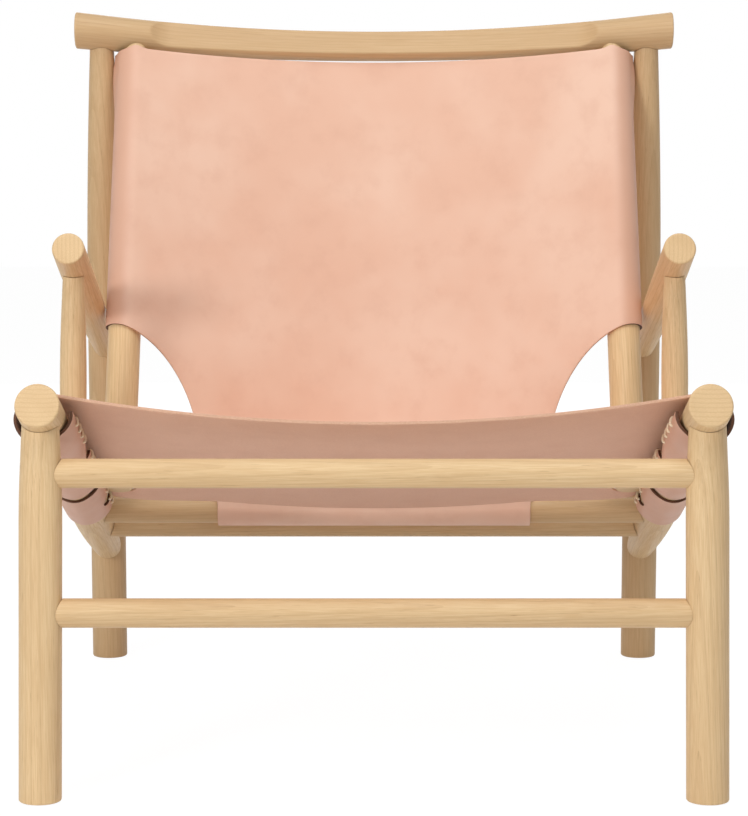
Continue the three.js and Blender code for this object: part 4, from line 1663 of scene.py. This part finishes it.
@dataclass(frozen=True)
class BackSling:
    """The back: one sheet round both poles, cut away at its lower corners.

    A tongue of it goes round the front one of the rear cross rails. Slack_from and slack_until are the turns
    round a pole over which a sleeve comes off it and goes back.
    """

    lines: SetOut
    finishes: Finishes
    crest: CrestRail
    top_gap: float = 0.0045
    top_peak: float = 0.0038
    top_peak_width: float = 0.008
    slack: float = 0.0055
    slack_below: float = 0.12
    slack_full: float = 0.05
    slack_from: tuple[float, float] = (radians(78), radians(108))
    slack_until: tuple[float, float] = (radians(190), radians(240))
    behind_from: float = 0.5
    post_clearance: float = 0.0005
    flap_turn: float = radians(270)
    cut_centre: float = 0.0438
    cut_height: float = 0.1585
    cut_width: float = 0.111
    tongue_half_width: float = 0.186
    tongue_turn: float = radians(250)
    columns: Columns = Columns(wrap=36, panel=130)
    wrap_rows: int = 40
    tongue_rows: int = 14
    corner_rows: int = 52
    upper_rows: int = 96

    @property
    def radius(self) -> float:
        """Radius of the sheet's middle round a pole."""
        return self.lines.pole_radius + self.lines.fit + self.lines.leather / 2

    @property
    def tongue_radius(self) -> float:
        """Radius of the sheet's middle round the rear rail."""
        return self.lines.cross_rail_radius + self.lines.fit + self.lines.leather / 2

    @property
    def tongue_bar(self) -> Vector:
        """The rear rail's axis in the back's own frame: before the poles' axes and up from their feet."""
        lines = self.lines
        dy = lines.rear_rail_front_y - lines.pole_foot_y
        dz = lines.rail_height(lines.rear_rail_front_y) - lines.pole_foot_height
        angle = lines.back_angle
        return Vector((dz * sin(angle) - dy * cos(angle), dy * sin(angle) + dz * cos(angle)))

    @property
    def top(self) -> Vector:
        """The middle of the top edge in the back's own frame."""
        lines = self.lines
        return Vector((
            lines.crest_bow_at(lines.pole_x) - lines.crest_bow_at(0.0),
            lines.crest_rise - self.crest.half_height(0.0) - self.top_gap,
        ))

    @property
    def tongue_top(self) -> Vector:
        """Where the middle of the back, coming down from its top, touches its wrap round the rear rail."""
        way = self.tongue_bar - self.top
        reach = sqrt(way.length_squared - self.tongue_radius ** 2)
        turn = atan(self.tongue_radius / reach)
        turned = Vector((way.x * cos(turn) - way.y * sin(turn), way.x * sin(turn) + way.y * cos(turn)))
        return self.top + turned.normalized() * reach

    @property
    def posts(self) -> dict[int, tuple[Vector, Vector]]:
        """The rear posts' feet and heads, by side."""
        lines = self.lines
        top = lines.post_top
        return {
            side: (lines.on_side(side, lines.rear_foot_y, 0.0), lines.on_side(side, top.y, top.z))
            for _, side in SIDES
        }

    def middle(self, rise: float) -> float:
        """How far the back's middle lies before the poles' axes at a rise."""
        low, high = self.tongue_top, self.top
        return mix(low.x, high.x, (rise - low.y) / (high.y - low.y))

    def half_span(self, rise: float) -> float:
        """Half the distance between the poles' axes at a rise."""
        lines = self.lines
        return lines.side_x(lines.pole_foot_height + rise * cos(lines.back_angle)) - lines.pole_inset

    def section(self, rise: float) -> Section:
        """The sling's section at a rise."""
        return Section(self.half_span(rise), self.radius, self.middle(rise), self.flap_turn)

    @property
    def outside(self) -> float:
        """Distance of the sleeves' outside from the middle at the hem."""
        return self.half_span(self.cut_centre + self.cut_height) + self.radius

    def hem_rise(self, x: float) -> float:
        """Rise of the hem at a place across: an elliptic cut that starts level on the sleeve's outside."""
        inward = min(1.0, max(0.0, self.outside - abs(x)) / self.cut_width)
        return self.cut_centre + self.cut_height * sqrt(1 - inward ** 2)

    @property
    def lower_rows(self) -> int:
        """How many rows lie below the hem."""
        return self.wrap_rows + self.tongue_rows + self.corner_rows

    @property
    def rows(self) -> int:
        """How many rows of faces the whole grid has."""
        return self.lower_rows + self.upper_rows

    @property
    def hem_section(self) -> Section:
        """The sling's section at the top of the corner cuts."""
        return self.section(self.cut_centre + self.cut_height)

    def lay(self, column: float, row: float) -> Vector:
        """Place of a column and row in the hung sheet.

        Args:
            column: the column.
            row: the row, counted from the tongue's end.

        Returns:
            The place.
        """
        column, row = round(column, 4), round(row, 4)
        side, share = self.columns.split(column)
        if row > self.lower_rows or (side and row == self.lower_rows):
            return self._lay_upper(column, (row - self.lower_rows) / self.upper_rows)
        across = share if side == 0 else float(side)
        if row < self.wrap_rows:
            return self._lay_wrap(across, 1 - row / self.wrap_rows)
        return self._lay_lower(across, row - self.wrap_rows)

    def _lay_upper(self, column: float, share: float) -> Vector:
        """Place above the hem, where the sheet runs round the poles.

        Args:
            column: the column.
            share: from 0 at the hem to 1 at the top edge.

        Returns:
            The place.
        """
        hem_section = self.hem_section
        hem_x, _ = self.columns.on(hem_section, column)
        side, around = self.columns.split(column)
        behind = side != 0 and around > self.behind_from
        low = self.hem_rise(inf if behind else max(hem_section.hang.edge, abs(hem_x)))
        from_pole = (abs(hem_x) - self.lines.pole_x) / self.top_peak_width
        top_gap = self.top_gap - (0.0 if behind else self.top_peak * exp(-from_pole ** 2))
        high = self.lines.crest_rise - self.crest.half_height(hem_x) - top_gap
        rise = mix(low, high, share)
        section = self.section(rise)
        x, front = self.columns.on(section, column)
        spot = self.lines.on_back(x, front, rise)
        return self._loosen(spot, side, around, section, rise) if side else spot

    def _loosen(self, spot: Vector, side: int, around: float, section: Section, rise: float) -> Vector:
        """Moves a sleeve's point off its pole where the leather is slack, short of the rear post.

        Args:
            spot: the point, close on its pole.
            side: which sleeve, -1 or 1.
            around: the point's share of the way round the pole.
            section: the sling's section there.
            rise: the point's distance up from the poles' feet.

        Returns:
            The point's place.
        """
        lines = self.lines
        middle = lines.on_back(side * section.half_span, 0.0, rise)
        turn = around * (self.flap_turn + section.hang.angle) - section.hang.angle
        loose = smoothstep(turn, *self.slack_from) * (1 - smoothstep(turn, *self.slack_until))
        loose *= smoothstep(rise, lines.crest_rise - self.slack_below, lines.crest_rise - self.slack_full)
        post_radius = SideFrames.rear_post.radius(spot.z / lines.post_top.z)
        post_gap = line_gap(spot, *self.posts[side]) - post_radius - lines.leather / 2
        slack = min(self.slack * loose, max(0.0, post_gap - self.post_clearance))
        return spot + (spot - middle).normalized() * slack

    def _lay_lower(self, across: float, row: float) -> Vector:
        """Place between the rear rail and the hem: the tongue, then the elliptic corner cuts.

        Args:
            across: from -1 at the left edge to 1 at the right.
            row: the row, counted from the rear rail.

        Returns:
            The place.
        """
        edge = self.hem_section.hang.edge
        hem = self.hem_rise(edge)
        low = self.tongue_top.y
        waist = self.outside - self.cut_width
        if row < self.tongue_rows:
            share = row / self.tongue_rows
            rise = mix(low, self.cut_centre, share)
            half_width = mix(self.tongue_half_width, waist, share ** 2)
        else:
            share = (row - self.tongue_rows) / self.corner_rows
            span = (hem - self.cut_centre) / self.cut_height
            angle = atan(span / sqrt(1 - span ** 2)) * share
            rise = self.cut_centre + self.cut_height * sin(angle)
            half_width = self.outside - self.cut_width * cos(angle)
        section = self.section(rise)
        bow = section.hang.curvature * smoothstep(rise, low, hem)
        x = across * half_width
        return self.lines.on_back(x, section.middle + bow * x * x, rise)

    def _lay_wrap(self, across: float, share: float) -> Vector:
        """Place round the rear rail, from where the tongue comes down in front to its end.

        Args:
            across: from -1 at the left edge to 1 at the right.
            share: the share of the way round.

        Returns:
            The place.
        """
        bar = self.tongue_bar
        start = self.tongue_top - bar
        turn = -self.tongue_turn * share
        turned = Vector((
            start.x * cos(turn) - start.y * sin(turn), start.x * sin(turn) + start.y * cos(turn),
        ))
        spot = turned + bar
        return self.lines.on_back(across * self.tongue_half_width, spot.x, spot.y)

    def build(self) -> None:
        """Cuts and hangs the back."""
        hide = Hide(self.columns, self.rows, self.lay, self.lines.leather)
        shape = hide.grid()
        first, last = self.columns.wrap, self.columns.wrap + self.columns.panel
        corners = []
        for face in shape.faces:
            middle = face.calc_center_median()
            if middle.y < self.lower_rows and not first < middle.x < last:
                corners.append(face)
        bmesh.ops.delete(shape, geom=corners, context="FACES")
        width, length, area = measure_flat(shape, self.lay, self.columns.count, self.rows)
        piece = hide.finish(shape, "leather_back_sling", self.lines, self.finishes)
        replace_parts(piece, "back_sling")


# Lacing


@dataclass(frozen=True)
class Lacing:
    """Whip stitches of linen thread over the flaps' edges.

    Path gives a stitch's points: the turn past the flap's edge as a share of the stitch's depth, the distance
    from the leather's middle as a share of that outside it, and the share of the slant.
    """

    lines: SetOut
    finishes: Finishes
    seat: SeatSling
    back: BackSling
    thread_radius: float = 0.0015
    seat_stations: tuple[float, ...] = (
        0.0835, 0.112, 0.1365, 0.163, 0.242, 0.270, 0.298, 0.362, 0.390, 0.4255, 0.4685, 0.490,
    )
    back_first: float = 0.215
    back_pitch: float = 0.0275
    back_count: int = 13
    depth: float = 0.0062
    slant: float = 0.003
    lift: float = 0.85
    facets: int = 3
    curve_steps: int = 4
    path: tuple[tuple[float, float, float], ...] = (
        (-1.0, 0.0, 0.0), (-1.0, 0.8, 0.05), (-0.7, 1.0, 0.25), (-0.25, 1.0, 0.6),
        (0.16, 0.7, 0.85), (0.24, 0.0, 0.95), (0.1, -0.8, 1.0), (-0.3, -0.9, 1.0),
    )

    def _stitch(self, section: Section, side: int, along_bar: float, to_space: Place3) -> list[Vector]:
        """Points of one stitch, from inside the flap, out below its edge, over it and back in.

        Args:
            section: the sling's section at the stitch.
            side: which flap, -1 or 1.
            along_bar: place of the stitch along the bar.
            to_space: turns across, above and along into a point.

        Returns:
            The thread's points.
        """
        outside = self.lines.leather / 2 + self.lift * self.thread_radius
        drop = self.depth / section.radius
        points = []
        for past_edge, outward, share in self.path:
            around = section.turn + past_edge * drop
            radius = section.radius + section.spring + outward * outside
            x = side * (section.half_span + radius * sin(around))
            points.append(to_space(x, radius * cos(around), along_bar + self.slant * share))
        return points

    def _thread(self, name: str, runs: list[list[Vector]]) -> None:
        """Makes one piece of several short runs of thread.

        Args:
            name: the piece's name.
            runs: the points of each run.
        """
        curve = bpy.data.curves.new(name, "CURVE")
        curve.dimensions = "3D"
        curve.bevel_depth = self.thread_radius
        curve.bevel_resolution = self.facets
        curve.use_fill_caps = True
        curve.resolution_u = self.curve_steps
        for run in runs:
            spline = curve.splines.new("NURBS")
            spline.points.add(len(run) - 1)
            for knot, point in zip(spline.points, run):
                knot.co = (*(point + self.lines.middle_shift), 1.0)
            spline.use_endpoint_u = True
            spline.order_u = 3
        holder = bpy.data.objects.new(f"{name}_curve", curve)
        bpy.context.scene.collection.objects.link(holder)
        mesh = bpy.data.meshes.new_from_object(holder.evaluated_get(bpy.context.evaluated_depsgraph_get()))
        bpy.data.objects.remove(holder)
        shape = bmesh.new()
        shape.from_mesh(mesh)
        face_outwards(shape)
        put_in_scene(shape, name, [self.finishes.cord])

    def build(self) -> None:
        """Laces the seat's and the back's flaps."""
        for hand, side in SIDES:
            runs = [
                self._stitch(self.seat.section(station), side, station, self.lines.on_seat)
                for station in self.seat_stations
            ]
            self._thread(f"thread_seat_{hand}", runs)
            runs = []
            for i in range(self.back_count):
                rise = self.back_first + i * self.back_pitch
                runs.append(self._stitch(self.back.section(rise), side, rise, self.lines.on_back))
            self._thread(f"thread_back_{hand}", runs)


# Hardware


@dataclass(frozen=True)
class Hardware:
    """The CAD nodes that stay as they are and get their finish here."""

    finishes: Finishes

    def build(self) -> None:
        """Dresses the floor glides and the pole pins."""
        for name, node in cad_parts.items():
            if name.startswith(("floor_glide", "pole_pin")):
                finish = self.finishes.felt if name.startswith("floor_glide") else self.finishes.steel
                node.data.materials.clear()
                node.data.materials.append(finish)
                log.info("%s: dressed", name)


# Studio


@dataclass(frozen=True)
class Lamp:
    """A soft white lamp: where it stands, how wide it is and how strong."""

    name: str
    spot: tuple[float, float, float]
    width: float
    watts: float


@dataclass(frozen=True)
class Studio:
    """A white studio with soft light from above and in front, and the camera."""

    camera_spot: tuple[float, float, float] = (0.0, -3.0954, 0.7102)
    camera_pitch: float = radians(6.3402)
    lens: float = 119.85
    far_clip: float = 60.0
    floor_half: float = 9.0
    floor_diffuse: float = 0.95
    floor_roughness: float = 0.9
    shadow_share: float = 0.12
    floor_white: float = 1.08
    sky_level: float = 0.3
    lamp_target: tuple[float, float, float] = (0.0, 0.0, 0.4)
    lamps: tuple[Lamp, ...] = (
        Lamp("lamp_above", (0.2, -1.2, 3.4), width=2.4, watts=57.0),
        Lamp("lamp_front", (-1.8, -3.2, 1.5), width=0.7, watts=50.0),
        Lamp("lamp_behind", (0.0, 3.6, 1.2), width=2.8, watts=30.0),
    )

    def build(self) -> None:
        """Builds the camera, the floor, the lamps and the sky."""
        self._camera()
        self._floor()
        self._sky()
        for lamp in self.lamps:
            self._lamp(lamp)
        bpy.context.scene.view_settings.view_transform = "Standard"

    def _camera(self) -> None:
        """Puts the camera where the photograph was taken from."""
        camera = bpy.data.cameras.new("camera")
        camera.lens = self.lens
        camera.clip_end = self.far_clip
        holder = bpy.data.objects.new("camera", camera)
        holder.location = self.camera_spot
        holder.rotation_euler = (pi / 2 - self.camera_pitch, 0.0, 0.0)
        bpy.context.scene.collection.objects.link(holder)
        bpy.context.scene.camera = holder

    def _white_to_camera(self, tree: bpy.types.NodeTree, most: float) -> bpy.types.NodeSocket:
        """A share that is the given one for camera, glossy and transmission rays and zero for others.

        Args:
            tree: the node tree that gets the nodes.
            most: the given share.

        Returns:
            The share.
        """
        path = tree.nodes.new("ShaderNodeLightPath")
        share = path.outputs["Is Camera Ray"]
        for ray in ("Is Glossy Ray", "Is Transmission Ray"):
            either = tree.nodes.new("ShaderNodeMath")
            either.operation = "MAXIMUM"
            tree.links.new(share, either.inputs[0])
            tree.links.new(path.outputs[ray], either.inputs[1])
            share = either.outputs[0]
        scaled = tree.nodes.new("ShaderNodeMath")
        scaled.operation = "MULTIPLY"
        scaled.inputs[1].default_value = most
        tree.links.new(share, scaled.inputs[0])
        return scaled.outputs[0]

    def _floor(self) -> None:
        """Lays the white floor, which keeps a faint shadow."""
        shape = bmesh.new()
        bmesh.ops.create_grid(shape, x_segments=1, y_segments=1, size=self.floor_half)
        mesh = bpy.data.meshes.new("floor")
        shape.to_mesh(mesh)
        shape.free()
        floor = bpy.data.objects.new("floor", mesh)
        bpy.context.scene.collection.objects.link(floor)
        material = bpy.data.materials.new("floor_white")
        material.use_nodes = True
        tree = material.node_tree
        shader = tree.nodes["Principled BSDF"]
        shader.inputs["Base Color"].default_value = (*[self.floor_diffuse] * 3, 1.0)
        shader.inputs["Roughness"].default_value = self.floor_roughness
        shader.inputs["Specular IOR Level"].default_value = 0.0
        white = tree.nodes.new("ShaderNodeEmission")
        white.inputs["Strength"].default_value = self.floor_white
        both = tree.nodes.new("ShaderNodeMixShader")
        tree.links.new(self._white_to_camera(tree, 1 - self.shadow_share), both.inputs["Fac"])
        tree.links.new(shader.outputs[0], both.inputs[1])
        tree.links.new(white.outputs[0], both.inputs[2])
        tree.links.new(both.outputs[0], tree.nodes["Material Output"].inputs["Surface"])
        mesh.materials.append(material)

    def _sky(self) -> None:
        """Lights the room evenly and shows it white."""
        world = bpy.data.worlds.new("sky")
        bpy.context.scene.world = world
        world.use_nodes = True
        tree = world.node_tree
        light = tree.nodes["Background"]
        light.inputs["Strength"].default_value = self.sky_level
        light.inputs["Color"].default_value = (1.0, 1.0, 1.0, 1.0)
        white = tree.nodes.new("ShaderNodeBackground")
        white.inputs["Strength"].default_value = 1.0
        white.inputs["Color"].default_value = (1.0, 1.0, 1.0, 1.0)
        both = tree.nodes.new("ShaderNodeMixShader")
        tree.links.new(self._white_to_camera(tree, 1.0), both.inputs["Fac"])
        tree.links.new(light.outputs[0], both.inputs[1])
        tree.links.new(white.outputs[0], both.inputs[2])
        tree.links.new(both.outputs[0], tree.nodes["World Output"].inputs["Surface"])

    def _lamp(self, lamp: Lamp) -> None:
        """Hangs one soft lamp.

        Args:
            lamp: the lamp.
        """
        light = bpy.data.lights.new(lamp.name, "AREA")
        light.shape = "DISK"
        light.size = lamp.width
        light.energy = lamp.watts
        holder = bpy.data.objects.new(lamp.name, light)
        holder.location = lamp.spot
        holder.visible_camera = False
        way = Vector(self.lamp_target) - Vector(lamp.spot)
        holder.rotation_euler = way.to_track_quat("-Z", "Y").to_euler()
        bpy.context.scene.collection.objects.link(holder)


def main() -> None:
    """Builds the studio and the chair."""
    logging.basicConfig(level=logging.INFO, format="%(name)s: %(message)s")
    Studio().build()
    lines = SetOut()
    finishes = Finishes.build()
    crest = CrestRail(lines, finishes)
    poles = BackPoles(lines, finishes, crest)
    frames = SideFrames(lines, finishes, crest)
    frames.build()
    CrossRails(lines, finishes, frames).build()
    crest.build()
    poles.build()
    seat = SeatSling(lines, finishes, poles)
    back = BackSling(lines, finishes, crest)
    seat.build()
    back.build()
    Lacing(lines, finishes, seat, back).build()
    Hardware(finishes).build()


if __name__ == "__main__":
    main()
